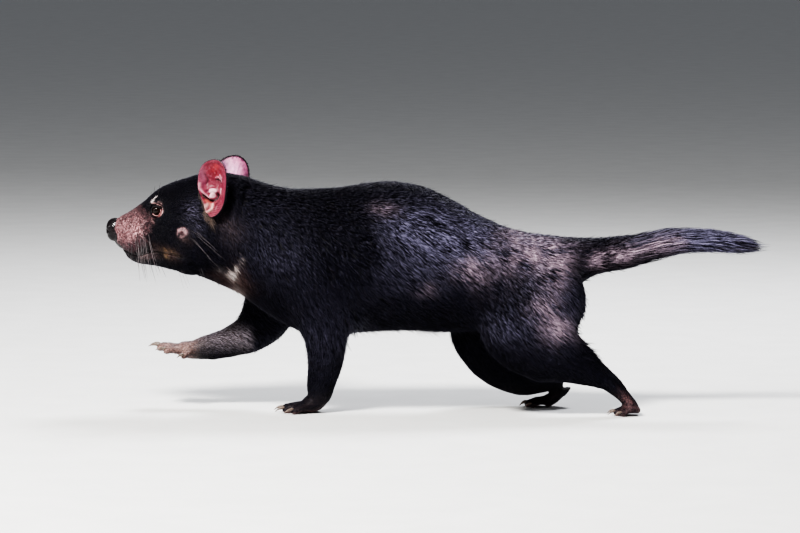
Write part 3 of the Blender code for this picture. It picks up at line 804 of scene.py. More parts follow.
# Soft swellings and hollows: centre, radii, height
HEAD_FORMS = [
    ((-345, -34, 274), (13, 9, 5), 1.2),
    ((-350, -46, 243), (10, 8, 4), 0.6),
    ((-349, -41, 248), (2.4, 7, 6.5), 0.9),
    ((-362, -30, 242), (8, 9, 7), -0.7),
    ((-318, -52, 252), (12, 9, 9), -0.8),
    ((-303.5, -62, 231.3), (5.5, 8, 4.5), 2.0),
    ((-303.5, -62, 231.3), (1.8, 8, 1.5), -1.2),
    ((-372, -28, 220), (14, 9, 9), 1.3),
    ((-392, -20, 226), (4, 9, 9), -0.5),
    ((-388, -8, 252), (10, 12, 7), -0.9),
    ((-290, -62, 205), (18, 12, 18), 1.2),
    ((-322, -52, 214), (10, 10, 12), -0.8),
    ((-300, -56, 190), (30, 12, 5), -0.9),
    ((-350, -28, 193), (16, 10, 5), 0.8),
]
BODY_FORMS = [
    ((-175, -70, 205), (26, 20, 40), 2.0),
    ((-118, -78, 200), (9, 18, 42), -1.8),
    ((-150, -74, 150), (22, 18, 22), 1.4),
    ((-118, -70, 118), (14, 18, 12), -1.5),
    ((-218, -62, 200), (10, 22, 48), -1.6),
    ((48, -72, 150), (12, 20, 34), -2.2),
    ((118, -76, 158), (36, 18, 38), 1.6),
    ((175, -50, 140), (10, 16, 30), -0.9),
    ((150, -72, 100), (18, 14, 14), 1.0),
    ((186, -24, 190), (7, 22, 20), -1.3),
    ((20, -50, 262), (60, 16, 8), 0.8),
]


def lid_shape(points, side):
    """Sculpts the lids and their folds round one eye of the straight head."""
    a, u, f = eye_view(points, side)
    at = np.column_stack([a, u])
    reach = np.hypot(a, u)
    gap, angle = lid_gap(a, u)
    shell = np.sqrt(np.maximum((EYE_RADIUS + 0.9) ** 2 - reach**2, 0.0))
    own = smooth_step(2.0, 5.4, gap)
    height = shell * (1 - own) + f * own
    # A heavy upper lid that hangs over the eye, a deep crease and two folds over it
    height = height + 0.8 * stroke(at, UPPER_LID, 1.5) + 0.9 * stroke(at, LID_FOLD, 1.1)
    crease = [((x0 + x1) / 2, (y0 + y1) / 2) for (x0, y0), (x1, y1) in zip(UPPER_LID, LID_FOLD)]
    height = height - 1.3 * stroke(at, crease, 0.55) + 0.5 * stroke(at, BROW_FOLD, 1.0)
    height = height - 0.6 * stroke(at, [(1.0, 9.9), (5.0, 8.8), (8.4, 6.7)], 0.6)
    low = smooth_step(0.1, -0.5, np.sin(angle))
    height = height + low * (0.5 * bell(gap, 1.3, 1.0) - 0.7 * bell(gap, 5.0, 0.8))
    height = height - low * 0.35 * bell(gap, 3.0, 0.4)
    # The tear duct runs on from the front corner, down and forward
    height = height - 0.9 * stroke(at, TEAR_DUCT, 0.8)
    ball_face = np.sqrt(np.maximum(EYE_RADIUS**2 - reach**2, 0.01)) - 2.2
    edge = smooth_step(-0.5, 0.25, gap)
    height = height * edge + ball_face * (1 - edge)
    fade = smooth_step(15.0, 10.5, reach) * (f > -3)
    return points + ways_round(EYE_FACING, side)[2] * ((height - f) * fade)[:, None]


def mouth_shape(points, normals):
    """The line of the mouth with a soft lip above and below it."""
    above = points[:, 2] - mouth_height(points[:, 0])
    present = smooth_step(-299, -306, points[:, 0]) * smooth_step(-402, -396, points[:, 0])
    side = 1 - 0.5 * np.abs(normals[:, 2])
    groove = -2.3 * bell(above, 0, 0.62)
    upper = 0.8 * bell(above, 2.2, 1.6)
    lower = 0.9 * bell(above, -2.0, 1.5)
    corner = near(points, (-301, -61, 200.5), (5, 9, 4)) * -1.0
    return ((groove + upper + lower) * present * side + corner)[:, None] * normals


def fold_lines(points):
    """Fine wrinkles across the bridge of the muzzle, under the eyes and down the cheeks."""
    bend = 1.6 * ripple(points, 14, 31)
    bridge = near(points, (-368, -16, 250), (20, 16, 10))
    lines = np.sin((points[:, 0] + 0.35 * points[:, 2] + bend) * 2 * math.pi / 4.0) * 0.13 * bridge
    pad = near(points, (-374, -30, 224), (17, 12, 14))
    lumps = ripple(points, 3.4, 32) * 0.20 * pad
    under = near(points, (-338, -44, 239), (16, 10, 7))
    sag = np.sin((points[:, 2] * 0.92 - points[:, 0] * 0.3 + bend) * 2 * math.pi / 4.6) * 0.22 * under
    jowl = near(points, (-322, -54, 208), (16, 12, 12))
    cheek = np.sin((points[:, 0] * 0.8 + points[:, 2] * 0.6 + bend) * 2 * math.pi / 7.0) * 0.3 * jowl
    return lines + lumps + sag + cheek


def sculpted(mesh):
    """Adds the folds, lids and lips to the skin."""
    points = drawing_points(mesh)
    straight = to_straight(points)
    normals = turn_directions(normals_of(mesh), straight[:, 0], -1)
    left = folded(straight)
    left_normals = normals.copy()
    left_normals[:, 1] = np.where(straight[:, 1] > 0, -normals[:, 1], normals[:, 1])
    height = spots(folded(points), BODY_FORMS, spots(left, HEAD_FORMS))
    height += fold_lines(left) + 0.45 * ripple(points, 34, 3) * smooth_step(-330, -250, straight[:, 0])
    height *= smooth_step(6, 30, points[:, 2])
    move = mouth_shape(left, left_normals)
    move[:, 1] = np.where(straight[:, 1] > 0, -move[:, 1], move[:, 1])
    straight = straight + normals * height[:, None] + move
    for side in (-1, 1):
        same = (straight[:, 1] * side) > 0
        straight[same] = lid_shape(straight[same], side)
    set_points(mesh, to_turned(straight))
    return mesh


# Markings, painted highlights and painted shade, shared by skin and coat

BLACK = np.array([0.0036, 0.0031, 0.0048])
MUZZLE = np.array([0.235, 0.112, 0.118])
# The rear edge of the pale muzzle: place along the head at each height
MUZZLE_REAR = np.array([
    (196, -396), (200, -380), (205, -372), (209.5, -367), (213, -361), (219.5, -357),
    (232.5, -353), (245.5, -347), (250, -349), (256, -360), (262, -374), (268, -386),
])
WART_CENTRE = (-303.5, -62, 231.3)
# Soft spots of the markings and of the painted sheen, as centre, radii and amount: on the left half of the
# straight head, on both sides of the body, and once where they are drawn
HEAD_SPOTS = {
    "pad": [((-369, -33, 231), (13, 16, 15), 1)],
    "jowl": [
        ((-318, -56, 203), (11, 12, 8), 1), ((-346, -38, 213), (12, 14, 5), 0.8),
        ((-298, -62, 222), (7, 12, 5), 0.9), ((-326, -52, 208), (18, 14, 7), 0.5),
    ],
    "behind_ear": [((-242, -60, 240), (14, 12, 18), 1), ((-254, -60, 252), (9, 12, 12), 0.8)],
    # Painted sheen on the cheek's hair
    "cheek": [((-293, -58, 260), (13, 12, 16), 1), ((-285, -62, 240), (10, 12, 12), 0.6)],
}
BODY_SPOTS = {
    "rump": [
        ((130, -40, 212), (40, 30, 22), 1.2), ((100, -26, 231), (20, 24, 8), 0.7),
        ((156, -50, 194), (14, 22, 14), 0.7),
    ],
    "thigh": [
        ((155, -76, 117), (20, 24, 16), 1), ((138, -74, 142), (17, 22, 18), 0.9),
        ((146, -62, 176), (15, 22, 14), 0.6),
    ],
    "flank": [
        ((41, -72, 190), (18, 22, 13), 1.3), ((-15, -76, 168), (13, 20, 9), 0.6),
        ((-66, -55, 264), (16, 16, 8), 0.8), ((66, -60, 194), (34, 30, 24), 0.55),
    ],
    # Painted sheen: where the coat's strands are painted grey-violet as if lit
    "shine": [
        ((30, -60, 232), (82, 60, 40), 1), ((-25, -70, 240), (34, 40, 20), 0.5),
        ((-30, -76, 188), (66, 40, 26), 0.22), ((-212, -50, 256), (36, 50, 32), 0.1),
        ((-196, -70, 205), (42, 40, 30), 0.2), ((150, -70, 140), (34, 40, 46), 0.5),
        ((128, -36, 212), (40, 40, 26), 0.7), ((352, -10, 220), (75, 30, 16), 1.3),
        ((-104, -70, 214), (26, 40, 30), -0.5), ((95, -70, 120), (30, 30, 22), 0.35),
        ((-140, -60, 105), (40, 50, 50), 0.22),
    ],
}
OWN_SPOTS = {
    "heel": [((250, -62, 22), (14, 12, 16), 1)],
    "halo": [
        ((-250, -28, 170), (20, 60, 13), 1), ((-246, -50, 188), (10, 24, 14), 0.6),
        ((-272, -30, 180), (16, 40, 8), 0.45),
    ],
}


def muzzle_marks(left, fine, grain):
    """The pale muzzle; the dark that mottles it, fades it at the edges and lays painted shade over its low
    part; the flap of the lip and its front edge.
    """
    x, z = left[:, 0], left[:, 2]
    behind = x - np.interp(z, MUZZLE_REAR[:, 0], MUZZLE_REAR[:, 1])
    muzzle = smooth_step(7.0, -11.0, behind + 4.0 * grain + 3.0 * fine)
    muzzle = muzzle * smooth_step(0.5, 3.0, z - mouth_height(x)) * (x < -300)
    dark_and_shade = 0.5 * smooth_step(-0.3, 1.0, fine + 0.6 * grain)
    dark_and_shade = dark_and_shade + 0.5 * smooth_step(-22, -4, behind) + 0.5 * smooth_step(238, 256, z)
    # Painted shade of the hair over the low part of the muzzle
    dark_and_shade = dark_and_shade + 0.55 * smooth_step(228, 210, z)
    dark_and_shade = np.maximum(dark_and_shade, near(left, (-362, -20, 262), (15, 22, 10)) * (0.9 + 0.5 * grain))
    dark_and_shade = np.maximum(dark_and_shade, near(left, (-374, -8, 260), (22, 15, 13)) * (0.95 + 0.4 * fine))
    return dict(
        muzzle=muzzle,
        dark_and_shade=dark_and_shade,
        flap=smooth_step(222, 206, z + 0.8 * grain - 0.25 * (x + 378)),
        lip_front=smooth_step(1.0, -1.2, x - lip_front(z)) * (z < LIP_FRONT_TOP),
    )


def eye_marks(left, grain):
    """The bare band, dark edge and folds of the lids, the tear line, and a near-white painted highlight over
    the brow.
    """
    a, u, _ = eye_view(left)
    at = np.column_stack([a, u])
    gap, angle = lid_gap(a, u)
    close = (np.linalg.norm(left - EYE_CENTRE, axis=1) < 22).astype(float)
    band = band_width(angle)
    lash = np.maximum(stroke(at, UPPER_LID, 1.9), stroke(at, TEAR_DUCT, 1.1))
    lash = np.maximum(lash, smooth_step(2.2, 1.2, gap) * (band < 1.0))
    # A painted highlight: a near-white streak over each eye
    brow_glint = stroke(left, [(-350.2, -35, 269.0), (-349.4, -34, 270.4)], 2.0)
    return dict(
        lower_lid=smooth_step(band + 0.7, band - 0.5, gap + 0.2 * grain) * (band > 0.3) * close,
        lash=smooth_step(0.25, 0.6, lash) * close,
        fold=np.maximum(stroke(at, LID_FOLD, 1.15), 0.55 * stroke(at, BROW_FOLD, 0.9)) * close,
        tear=stroke(left, [(-352.4, -38.5, 253.5), (-350.5, -41, 249), (-348, -42.5, 243)], 1.5),
        brow_glint=np.maximum(brow_glint, stroke(left, [(-348.4, -31.5, 271.0), (-346.4, -28, 273.6)], 1.8)),
    )


def masks(points):
    """Where each marking, painted highlight and painted shade lies, for drawing places."""
    left, body = folded(to_straight(points)), folded(points)
    x, z = left[:, 0], left[:, 2]
    fine, grain = ripple(points, 9, 6), ripple(points, 4.2, 7)
    marks = {**muzzle_marks(left, fine, grain), **eye_marks(left, grain)}
    for place, table in ((left, HEAD_SPOTS), (body, BODY_SPOTS), (points, OWN_SPOTS)):
        for name, rows in table.items():
            marks[name] = spots(place, rows)
    wart = np.linalg.norm((left - WART_CENTRE) / (7.4, 12, 6.2), axis=1)
    marks["ring"] = bell(wart, 0.78, 0.38) * (0.34 + 0.42 * grain + 0.8 * smooth_step(228, 236, z))
    marks["wart_eye"] = smooth_step(0.5, 0.25, wart)
    # The lip, its rear corner and the soft fold above it
    lip = stroke(left, [(-366, -27, 196.5), (-352, -34, 199.0), (-338, -44, 200.3), (-326, -53, 200.6)], 3.4)
    lip = lip + 0.8 * stroke(left, [(-341, -42, 208), (-335, -47, 203)], 1.6)
    rise = [(-350, -33, 207), (-334, -48, 209), (-320, -55, 208), (-311, -58, 205)]
    lip = lip + 0.5 * stroke(left, rise, 3.6)
    marks["lip"] = lip * smooth_step(-378, -364, x) * (0.8 + 0.35 * grain)
    marks["tan"] = smooth_step(-348, -328, x)
    marks["chin"] = smooth_step(-364, -376, x) * smooth_step(203, 199, z)
    # The white mark of the chest with its branches
    blaze = near(points, (-256, -38, 181), (5.4, 22, 6.0))
    blaze = blaze + 0.75 * stroke(points, [(-254, -44, 184), (-247, -56, 196), (-241, -60, 207)], 2.2)
    blaze = blaze + 0.10 * stroke(points, [(-259, -40, 183), (-272, -42, 190)], 5.0)
    blaze = blaze + 0.5 * near(points, (-250, 6, 162), (8, 30, 7))
    marks["blaze"] = blaze * (1 + 0.5 * grain + 0.4 * fine)
    # The thin brown hair along the tail, the bare arm that reaches out, and the feet
    x, z = points[:, 0], points[:, 2]
    middle = np.interp(x, [186, 217, 268, 306, 345], [190, 197, 208, 216, 218])
    tail = smooth_step(184, 200, x) * smooth_step(335, 290, x)
    marks["tail"] = tail * bell(z, middle, 10.0) * (np.abs(points[:, 1]) > 6)
    reach = (points[:, 1] > 8) * smooth_step(-222, -240, x) * smooth_step(120, 104, z)
    marks["arm"] = reach * smooth_step(-224, -240, x) * bell(z, 92, 15)
    marks["toes"] = reach * smooth_step(-292, -318, x)
    marks["feet"] = smooth_step(34, 12, z)
    marks["soles"] = smooth_step(5.0, 1.5, z)
    marks = {name: np.clip(mark, 0, 1) for name, mark in marks.items()}
    marks["muzzle_dark_and_shade"] = marks["muzzle"] * marks["dark_and_shade"]
    marks["dark_flap"] = marks["muzzle"] * marks["flap"]
    marks["patch"] = ripple(points, 26, 5)
    return marks


# The skin's colours, each laid over the last: marking, its share, colour
SKIN_BELOW = [
    ("arm", 0.8, (0.13, 0.095, 0.095)), ("feet", 0.6, (0.045, 0.028, 0.032)),
    ("heel", 0.9, (0.24, 0.12, 0.12)), ("toes", 1, (0.24, 0.145, 0.125)),
    ("soles", 0.8, (0.18, 0.10, 0.095)), ("jowl", 0.7, (0.055, 0.026, 0.024)),
]
# The muzzle's dark holds painted shade over its low part
SKIN_FACE = [
    ("muzzle_dark_and_shade", 1, (0.036, 0.018, 0.021)), ("dark_flap", 0.95, (0.060, 0.021, 0.030)),
    ("chin", 0.7, (0.016, 0.008, 0.010)), ("lip_front", 1, (0.006, 0.004, 0.005)),
    ("ring", 1, (0.50, 0.30, 0.31)), ("wart_eye", 1, (0.05, 0.010, 0.012)),
]
# The near-white streak over the brow is a painted highlight
SKIN_ABOVE = [
    ("tear", 0.9, (0.46, 0.26, 0.25)), ("lower_lid", 1, (0.62, 0.38, 0.37)),
    ("fold", 1, (0.40, 0.24, 0.235)), ("lash", 1, (0.004, 0.003, 0.004)),
    ("brow_glint", 1.3, (0.88, 0.78, 0.76)), ("blaze", 1, (0.70, 0.54, 0.48)),
]
# The coat's colours: marking, the range of its share from tuft to tuft, colour
COAT_MARKS = [
    ("arm", 0.1, 1, (0.52, 0.45, 0.50)), ("halo", 0.3, 1, (0.125, 0.073, 0.062)),
    ("behind_ear", 0.1, 0.9, (0.085, 0.062, 0.066)), ("jowl", 0.0, 0.9, (0.085, 0.052, 0.042)),
]


def layered(colour, marks, rows):
    for name, share, above in rows:
        colour = blend(marks[name] * share, colour, above)
    return colour


def skin_colours(points):
    """The skin's own colour and the paler tone of its painted highlights."""
    m = masks(points)
    colour = np.tile(BLACK * 1.1, (len(points), 1))
    colour = layered(colour, m, [
        ("halo", 0.8, (0.085, 0.042, 0.036)), ("behind_ear", 0.6, (0.06, 0.036, 0.036)),
    ])
    thin = np.clip(m["rump"] + m["thigh"] * 0.8 + m["flank"] * 0.5 + m["tail"], 0, 1)
    colour = blend(thin * (0.55 + 0.4 * m["patch"]), colour, (0.27, 0.18, 0.21))
    colour = layered(colour, m, SKIN_BELOW)
    colour = blend(m["muzzle"], colour, MUZZLE * (1 + 0.2 * m["patch"][:, None]))
    colour = layered(colour, m, SKIN_FACE)
    lip = blend(m["tan"], np.tile([0.16, 0.10, 0.098], (len(points), 1)), (0.25, 0.155, 0.085))
    colour = layered(blend(m["lip"], colour, lip), m, SKIN_ABOVE)
    # The painted highlights are strongest on bare skin and the whisker pad, and weaker on the lower lid, in
    # the muzzle's dark and on the lip flap
    bare = np.clip(m["toes"] + m["arm"] * 0.5 + m["lip"] * 0.6, 0, 1) + m["muzzle"] * (0.25 + 1.3 * m["pad"])
    bare = bare * (1 - 0.7 * m["lower_lid"]) * (1 - 0.85 * m["dark_and_shade"]) * (1 - m["dark_flap"])
    bare = bare[:, None]
    pale = colour * (1.25 + 0.9 * bare) + np.array([0.006, 0.004, 0.006]) + bare * (0.10, 0.07, 0.075)
    return colour, pale


def drawn_out(points, ways, size, seed):
    """A random field of even spread, drawn out along the hair into streaks."""
    total = sum(ripple(points + ways * (k * size), size, seed) for k in range(-4, 5))
    return total / total.std()


def coat_colours(points, draw):
    """The colour of each tuft at its root and tip."""
    m = masks(points)
    count = len(points)
    streak = drawn_out(points, lie(points), 2.8, 61)
    colour = np.tile(BLACK, (count, 1)) * draw.uniform(0.6, 1.6, (count, 1))
    colour = blend((draw.random(count) > 0.94) * 0.4, colour, (0.024, 0.016, 0.015))
    # Painted sheen: strands painted grey-violet where the light falls on the coat, and on the cheek's hair
    lit = smooth_step(-1.7, 1.8, streak + draw.normal(0, 0.8, count))
    colour = blend((0.03 + m["shine"]) * lit, colour, (0.262, 0.244, 0.375))
    colour = blend(m["cheek"] * lit * draw.uniform(0.2, 1.0, count), colour, (0.20, 0.18, 0.26))
    thin = np.clip(m["rump"] + m["thigh"] * 0.9 + m["flank"] * 0.6 + m["tail"], 0, 1)
    thin = thin * np.clip(0.60 + 0.42 * m["patch"] + 0.30 * streak + draw.normal(0, 0.22, count), 0, 1)
    colour = blend(thin, colour, (0.52, 0.39, 0.47))
    for name, low, high, above in COAT_MARKS:
        colour = blend(m[name] * draw.uniform(low, high, count), colour, above)
    # The muzzle's hairs are pale among dark ones, brightest on the whisker pad
    pale = draw.random(count) + 0.42 * ripple(points, 2.6, 8) > 0.80
    shown = m["muzzle"] * (1 - 0.85 * np.maximum(m["dark_and_shade"], m["flap"]))
    bright = (1 + 0.35 * m["pad"])[:, None] * (0.66, 0.50, 0.50)
    colour = blend(shown * pale, colour, bright)
    colour = blend(m["muzzle"] * ~pale * 0.9, colour, (0.060, 0.026, 0.030))
    colour = blend(m["ring"] * draw.uniform(0.2, 1, count), colour, (0.50, 0.33, 0.34))
    tan = blend(m["tan"], np.tile([0.17, 0.115, 0.11], (count, 1)), (0.30, 0.20, 0.115))
    colour = blend(m["lip"] * draw.uniform(0.3, 1, count), colour, tan)
    colour = layered(colour, m, [("tear", 0.7, (0.4, 0.24, 0.22)), ("fold", 0.5, (0.3, 0.19, 0.18))])
    # A painted highlight over the brow, on the hair
    colour = blend(m["brow_glint"] > 0.5, colour, (0.90, 0.82, 0.80))
    colour = blend(m["blaze"] * 1.3 * draw.uniform(0.6, 1, count), colour, (0.84, 0.73, 0.69))
    tip = colour * 1.3 + np.array([0.0015, 0.0013, 0.0024])
    return colour * 0.8, tip


# The lie of the hair

# Guides on the straight head, left half: place, then the way the hair lies there
HEAD_LIE = [
    ((-392, -5, 256), (0.9, -0.05, 0.35)),
    ((-385, -25, 232), (0.95, -0.3, -0.05)),
    ((-370, -28, 212), (0.88, -0.3, -0.35)),
    ((-345, -8, 288), (0.93, 0, 0.35)),
    ((-345, -30, 273), (0.9, -0.3, 0.2)),
    ((-342, -43, 242), (0.88, -0.3, -0.3)),
    ((-312, -60, 228), (0.85, -0.25, -0.48)),
    ((-302, -52, 268), (0.95, -0.2, -0.05)),
    ((-275, -8, 304), (1, 0, 0)),
    ((-288, -55, 284), (0.75, -0.2, -0.55)),
    ((-272, -62, 205), (0.74, -0.1, -0.66)),
    ((-378, -15, 189), (0.88, 0, -0.45)),
    ((-310, -20, 178), (0.95, 0, -0.3)),
    ((-245, -60, 262), (0.5, 0, -0.86)),
    ((-240, -62, 222), (0.55, 0, -0.83)),
    ((-240, -20, 300), (0.85, -0.3, -0.35)),
]
# Guides on the body: side (0 for both, -1 left, 1 right), place with y for the left side, way
BODY_LIE = [
    (0, (-205, -62, 215), (0.55, 0, -0.83)),
    (0, (-205, -20, 290), (0.88, -0.25, -0.3)),
    (0, (-225, -10, 145), (0.55, 0, -0.8)),
    (0, (-215, -25, 112), (0.75, 0.1, -0.6)),
    (0, (-150, -38, 272), (0.78, -0.3, -0.5)),
    (0, (-160, -74, 205), (0.62, 0, -0.78)),
    (0, (-140, -74, 155), (0.45, 0, -0.88)),
    (-1, (-130, -50, 112), (0.2, 0, -0.97)),
    (-1, (-136, -40, 70), (0.05, 0, -1)),
    (-1, (-143, -30, 25), (-0.45, 0, -0.88)),
    (-1, (-165, -20, 8), (-1, 0, -0.15)),
    (1, (-205, -55, 140), (-0.1, 0, -1)),
    (1, (-232, -50, 100), (-0.8, 0, -0.6)),
    (1, (-268, -50, 84), (-0.97, 0, -0.25)),
    (1, (-315, -50, 75), (-1, 0, -0.05)),
    (0, (-50, 0, 295), (1, 0, -0.02)),
    (0, (-50, -76, 225), (0.74, -0.05, -0.66)),
    (0, (-40, -74, 150), (0.76, 0.1, -0.62)),
    (0, (-40, 0, 104), (1, 0, 0)),
    (0, (50, -36, 250), (0.88, -0.15, -0.42)),
    (0, (40, -72, 180), (0.8, 0, -0.6)),
    (0, (115, -38, 222), (0.82, -0.2, -0.5)),
    (0, (110, -76, 155), (0.68, 0, -0.73)),
    (0, (60, -62, 122), (0.72, 0, -0.68)),
    (-1, (160, -66, 105), (0.76, 0, -0.64)),
    (0, (182, -45, 150), (0.62, 0.1, -0.78)),
    (-1, (192, -52, 62), (0.78, 0, -0.6)),
    (-1, (228, -50, 42), (0.66, 0, -0.75)),
    (-1, (250, -50, 18), (0.45, 0, -0.85)),
    (-1, (235, -50, 6), (-1, 0, 0)),
    (1, (90, -52, 90), (0.4, 0, -0.9)),
    (1, (120, -46, 48), (0.9, 0, -0.42)),
    (1, (156, -42, 34), (0.9, 0, -0.42)),
    (1, (168, -42, 16), (-0.2, 0, -1)),
    (1, (145, -42, 8), (-1, 0, -0.1)),
    (0, (190, -18, 200), (0.97, -0.1, 0.05)),
    (0, (240, -18, 203), (0.99, 0, 0.12)),
    (0, (300, -10, 215), (0.99, 0, 0.12)),
]


def guided(points, places, ways):
    """The way that the nearest guides give, blended by distance."""
    total = np.zeros_like(points)
    for place, way in zip(places, ways):
        distance = ((points - place) ** 2).sum(1) + 40.0
        total += way * (1 / distance**2)[:, None]
    return unit(total)


def lie(points):
    """The direction in which the hair lies at drawing places, not yet laid on the surface."""
    straight = to_straight(points)
    left = folded(straight)
    places, ways = np.array(HEAD_LIE, float).transpose(1, 0, 2)
    head = guided(left, places, unit(ways))
    head[:, 1] *= np.where(straight[:, 1] > 0, -1.0, 1.0)
    head = turn_directions(head, straight[:, 0])
    places, ways = [], []
    for word, place, way in BODY_LIE:
        for one in ((-1, 1) if word == 0 else (word,)):
            places.append(on_side(place, one))
            ways.append(on_side(way, one))
    body = guided(points, np.array(places, float), unit(np.array(ways, float)))
    share = smooth_step(-215, -250, straight[:, 0])[:, None]
    return unit(head * share + body * (1 - share))


# Tufts

def hair_size(points):
    """Length, width, spacing and lift of the tufts at drawing places, in mm."""
    straight = to_straight(points)
    left = folded(straight)
    x, z = left[:, 0], left[:, 2]
    length = np.full(len(points), 15.0)
    length += 3.0 * smooth_step(285, 150, points[:, 2]) * smooth_step(-200, -150, points[:, 0])
    head = smooth_step(-225, -300, x)
    length += head * (7.5 - length)
    face = smooth_step(-305, -345, x)
    length += face * (4.2 - length)
    muzzle = smooth_step(-352, -372, x)
    length += muzzle * (2.4 - length)
    # Shortest round the eye and on the wart
    eye = np.exp(-((np.linalg.norm(left - EYE_CENTRE, axis=1) / 13) ** 4))
    length += eye * (2.6 - length)
    wart = np.exp(-((np.linalg.norm(left - (-304.5, -62, 231.5), axis=1) / 10.5) ** 4))
    length += wart * (1.9 - length)
    around_ear = near(left, (-262, -58, 270), (30, 30, 34)) * (1 - wart)
    length += np.clip(around_ear, 0, 1) * (6.5 - length) * (head < 0.999)
    legs = smooth_step(110, 60, points[:, 2]) * (x > -215)
    length += legs * (8.5 - length)
    feet = smooth_step(48, 20, points[:, 2])
    length += feet * (3.4 - length)
    reaching = smooth_step(-225, -255, points[:, 0]) * (points[:, 2] < 118) * (points[:, 1] > 12)
    length += reaching * (5.5 - length)
    paw = smooth_step(-280, -300, points[:, 0]) * reaching
    length += paw * (2.8 - length)
    body = folded(points)
    fringe = near(body, (190, -45, 118), (12, 30, 34)) + near(points, (196, -62, 78), (12, 26, 22))
    fringe = fringe + near(body, (-30, -20, 106), (110, 46, 12)) + near(body, (-105, -50, 120), (14, 26, 22))
    fringe = np.clip(fringe, 0, 1) * (points[:, 2] > 50)
    length += fringe * 5.0
    width = 0.25 + 0.050 * length
    spacing = 0.88 + 0.064 * length
    bare = np.maximum.reduce([muzzle * smooth_step(206, 212, z) * 0.5, paw * 0.6])
    spacing = spacing / np.sqrt(np.maximum(1 - bare, 0.08))
    return length, width, spacing, 1 + fringe


def bald(points, normals):
    """1 where no hair grows: the lids, lips, nose and soles, and under ears and long tail hair."""
    straight = to_straight(points)
    left = folded(straight)
    x, z = left[:, 0], left[:, 2]
    a, u, _ = eye_view(left)
    gap, angle = lid_gap(a, u)
    close = np.linalg.norm(left - EYE_CENTRE, axis=1) < 18
    on_fold = from_line(np.column_stack([a, u]), LID_FOLD) < 1.4
    lids = close & ((gap < np.maximum(band_width(angle) + 0.6, 2.4)) | on_fold)
    mouth = (np.abs(z - mouth_height(x)) < 1.9) & (x < -303)
    nose = (((left - NOSE_CENTRE) / (NOSE_RADII + 3.0)) ** 2).sum(1) < 1
    front = (x < lip_front(z) + 1.0) & (z < LIP_FRONT_TOP)
    cup = np.zeros(len(points), bool)
    for side in (-1, 1):
        back, up, out = ways_round(EAR_FACING, side)
        away = straight - on_side(EAR_CENTRES[side], side)
        ear_a, ear_u = away @ back / EAR_RADII[0], away @ up / EAR_RADII[1]
        cup |= (np.hypot(ear_a, ear_u) < 0.72) & (away @ out > -EAR_DEPTH - 10)
    sole = (points[:, 2] < 3.0) | ((normals[:, 2] < -0.5) & (points[:, 2] < 16))
    core = points[:, 0] > 262
    return lids | mouth | nose | front | cup | sole | core


def proxy_map(mesh):
    """An unwrap of the skin's own shape on a coarse copy of it: tree, faces and their places."""
    thing = add_object("unwrap", mesh.copy())
    modifier = thing.modifiers.new("coarse", "DECIMATE")
    modifier.ratio = UNWRAP_FACES / (len(mesh.polygons) * 2)
    coarse = evaluated(thing, "unwrap")
    thing = add_object("unwrap", coarse)
    bpy.context.view_layer.objects.active = thing
    thing.select_set(True)
    bpy.ops.object.mode_set(mode="EDIT")
    bpy.ops.mesh.select_all(action="SELECT")
    bpy.ops.uv.smart_project(angle_limit=math.radians(66), island_margin=0.004)
    bpy.ops.object.mode_set(mode="OBJECT")
    points, faces = drawing_points(coarse), triangles_of(coarse)
    corners = np.empty(len(coarse.loop_triangles) * 3, np.int32)
    coarse.loop_triangles.foreach_get("loops", corners)
    flat = np.empty(len(coarse.loops) * 2, np.float32)
    coarse.uv_layers.active.data.foreach_get("uv", flat)
    places = flat.reshape(-1, 2)[corners.reshape(-1, 3)]
    tree = BVHTree.FromPolygons(points.tolist(), faces.tolist())
    bpy.data.objects.remove(thing)
    return tree, points[faces], places


def map_places(unwrap, points):
    """Places on the unwrap for points near the skin."""
    tree, corners, places = unwrap
    hits, _, faces = nearest(tree, points)
    a, b, c = (corners[faces, k] for k in range(3))
    ab, ac, ap = b - a, c - a, hits - a
    d00, d01, d11 = (ab * ab).sum(1), (ab * ac).sum(1), (ac * ac).sum(1)
    d20, d21 = (ap * ab).sum(1), (ap * ac).sum(1)
    det = np.maximum(d00 * d11 - d01 * d01, 1e-12)
    v = np.clip((d11 * d20 - d01 * d21) / det, 0, 1)
    w = np.clip((d00 * d21 - d01 * d20) / det, 0, 1)
    u = np.clip(1 - v - w, 0, 1)
    return places[faces, 0] * u[:, None] + places[faces, 1] * v[:, None] + places[faces, 2] * w[:, None]


def scattered(points, normals, faces, draw):
    """Roots spread over the skin, as close as hair_size asks."""
    a, b, c = (points[faces[:, k]] for k in range(3))
    area = np.linalg.norm(np.cross(b - a, c - a), axis=1) / 2
    centre = (a + b + c) / 3
    spacing = hair_size(centre)[2]
    weight = area / spacing**2
    weight[bald(centre, unit(np.cross(b - a, c - a)))] = 0
    total = np.cumsum(weight)
    count = int(total[-1])
    chosen = np.searchsorted(total, (np.arange(count) + draw.random(count)) * total[-1] / count)
    chosen = np.minimum(chosen, len(faces) - 1)
    r, s = draw.random(count), draw.random(count)
    over = r + s > 1
    r[over], s[over] = 1 - r[over], 1 - s[over]
    t = 1 - r - s
    roots = a[chosen] * t[:, None] + b[chosen] * r[:, None] + c[chosen] * s[:, None]
    corner = faces[chosen]
    up = normals[corner[:, 0]] * t[:, None] + normals[corner[:, 1]] * r[:, None]
    return roots, unit(up + normals[corner[:, 2]] * s[:, None])


# A tuft has two rings of three corners and a tip
TUFT_FACES = [
    (0, 2, 1),
    (0, 1, 4), (0, 4, 3), (1, 2, 5), (1, 5, 4), (2, 0, 3), (2, 3, 5),
    (3, 4, 6), (4, 5, 6), (5, 3, 6),
]
TUFT_SHARES = [0, 0, 0, 0.5, 0.5, 0.5, 1.0]
TUFT_PATCH = [(-1, -1), (1, -1), (0, -0.6), (-1, 0.2), (1, 0.2), (0, 0.3), (0, 1)]


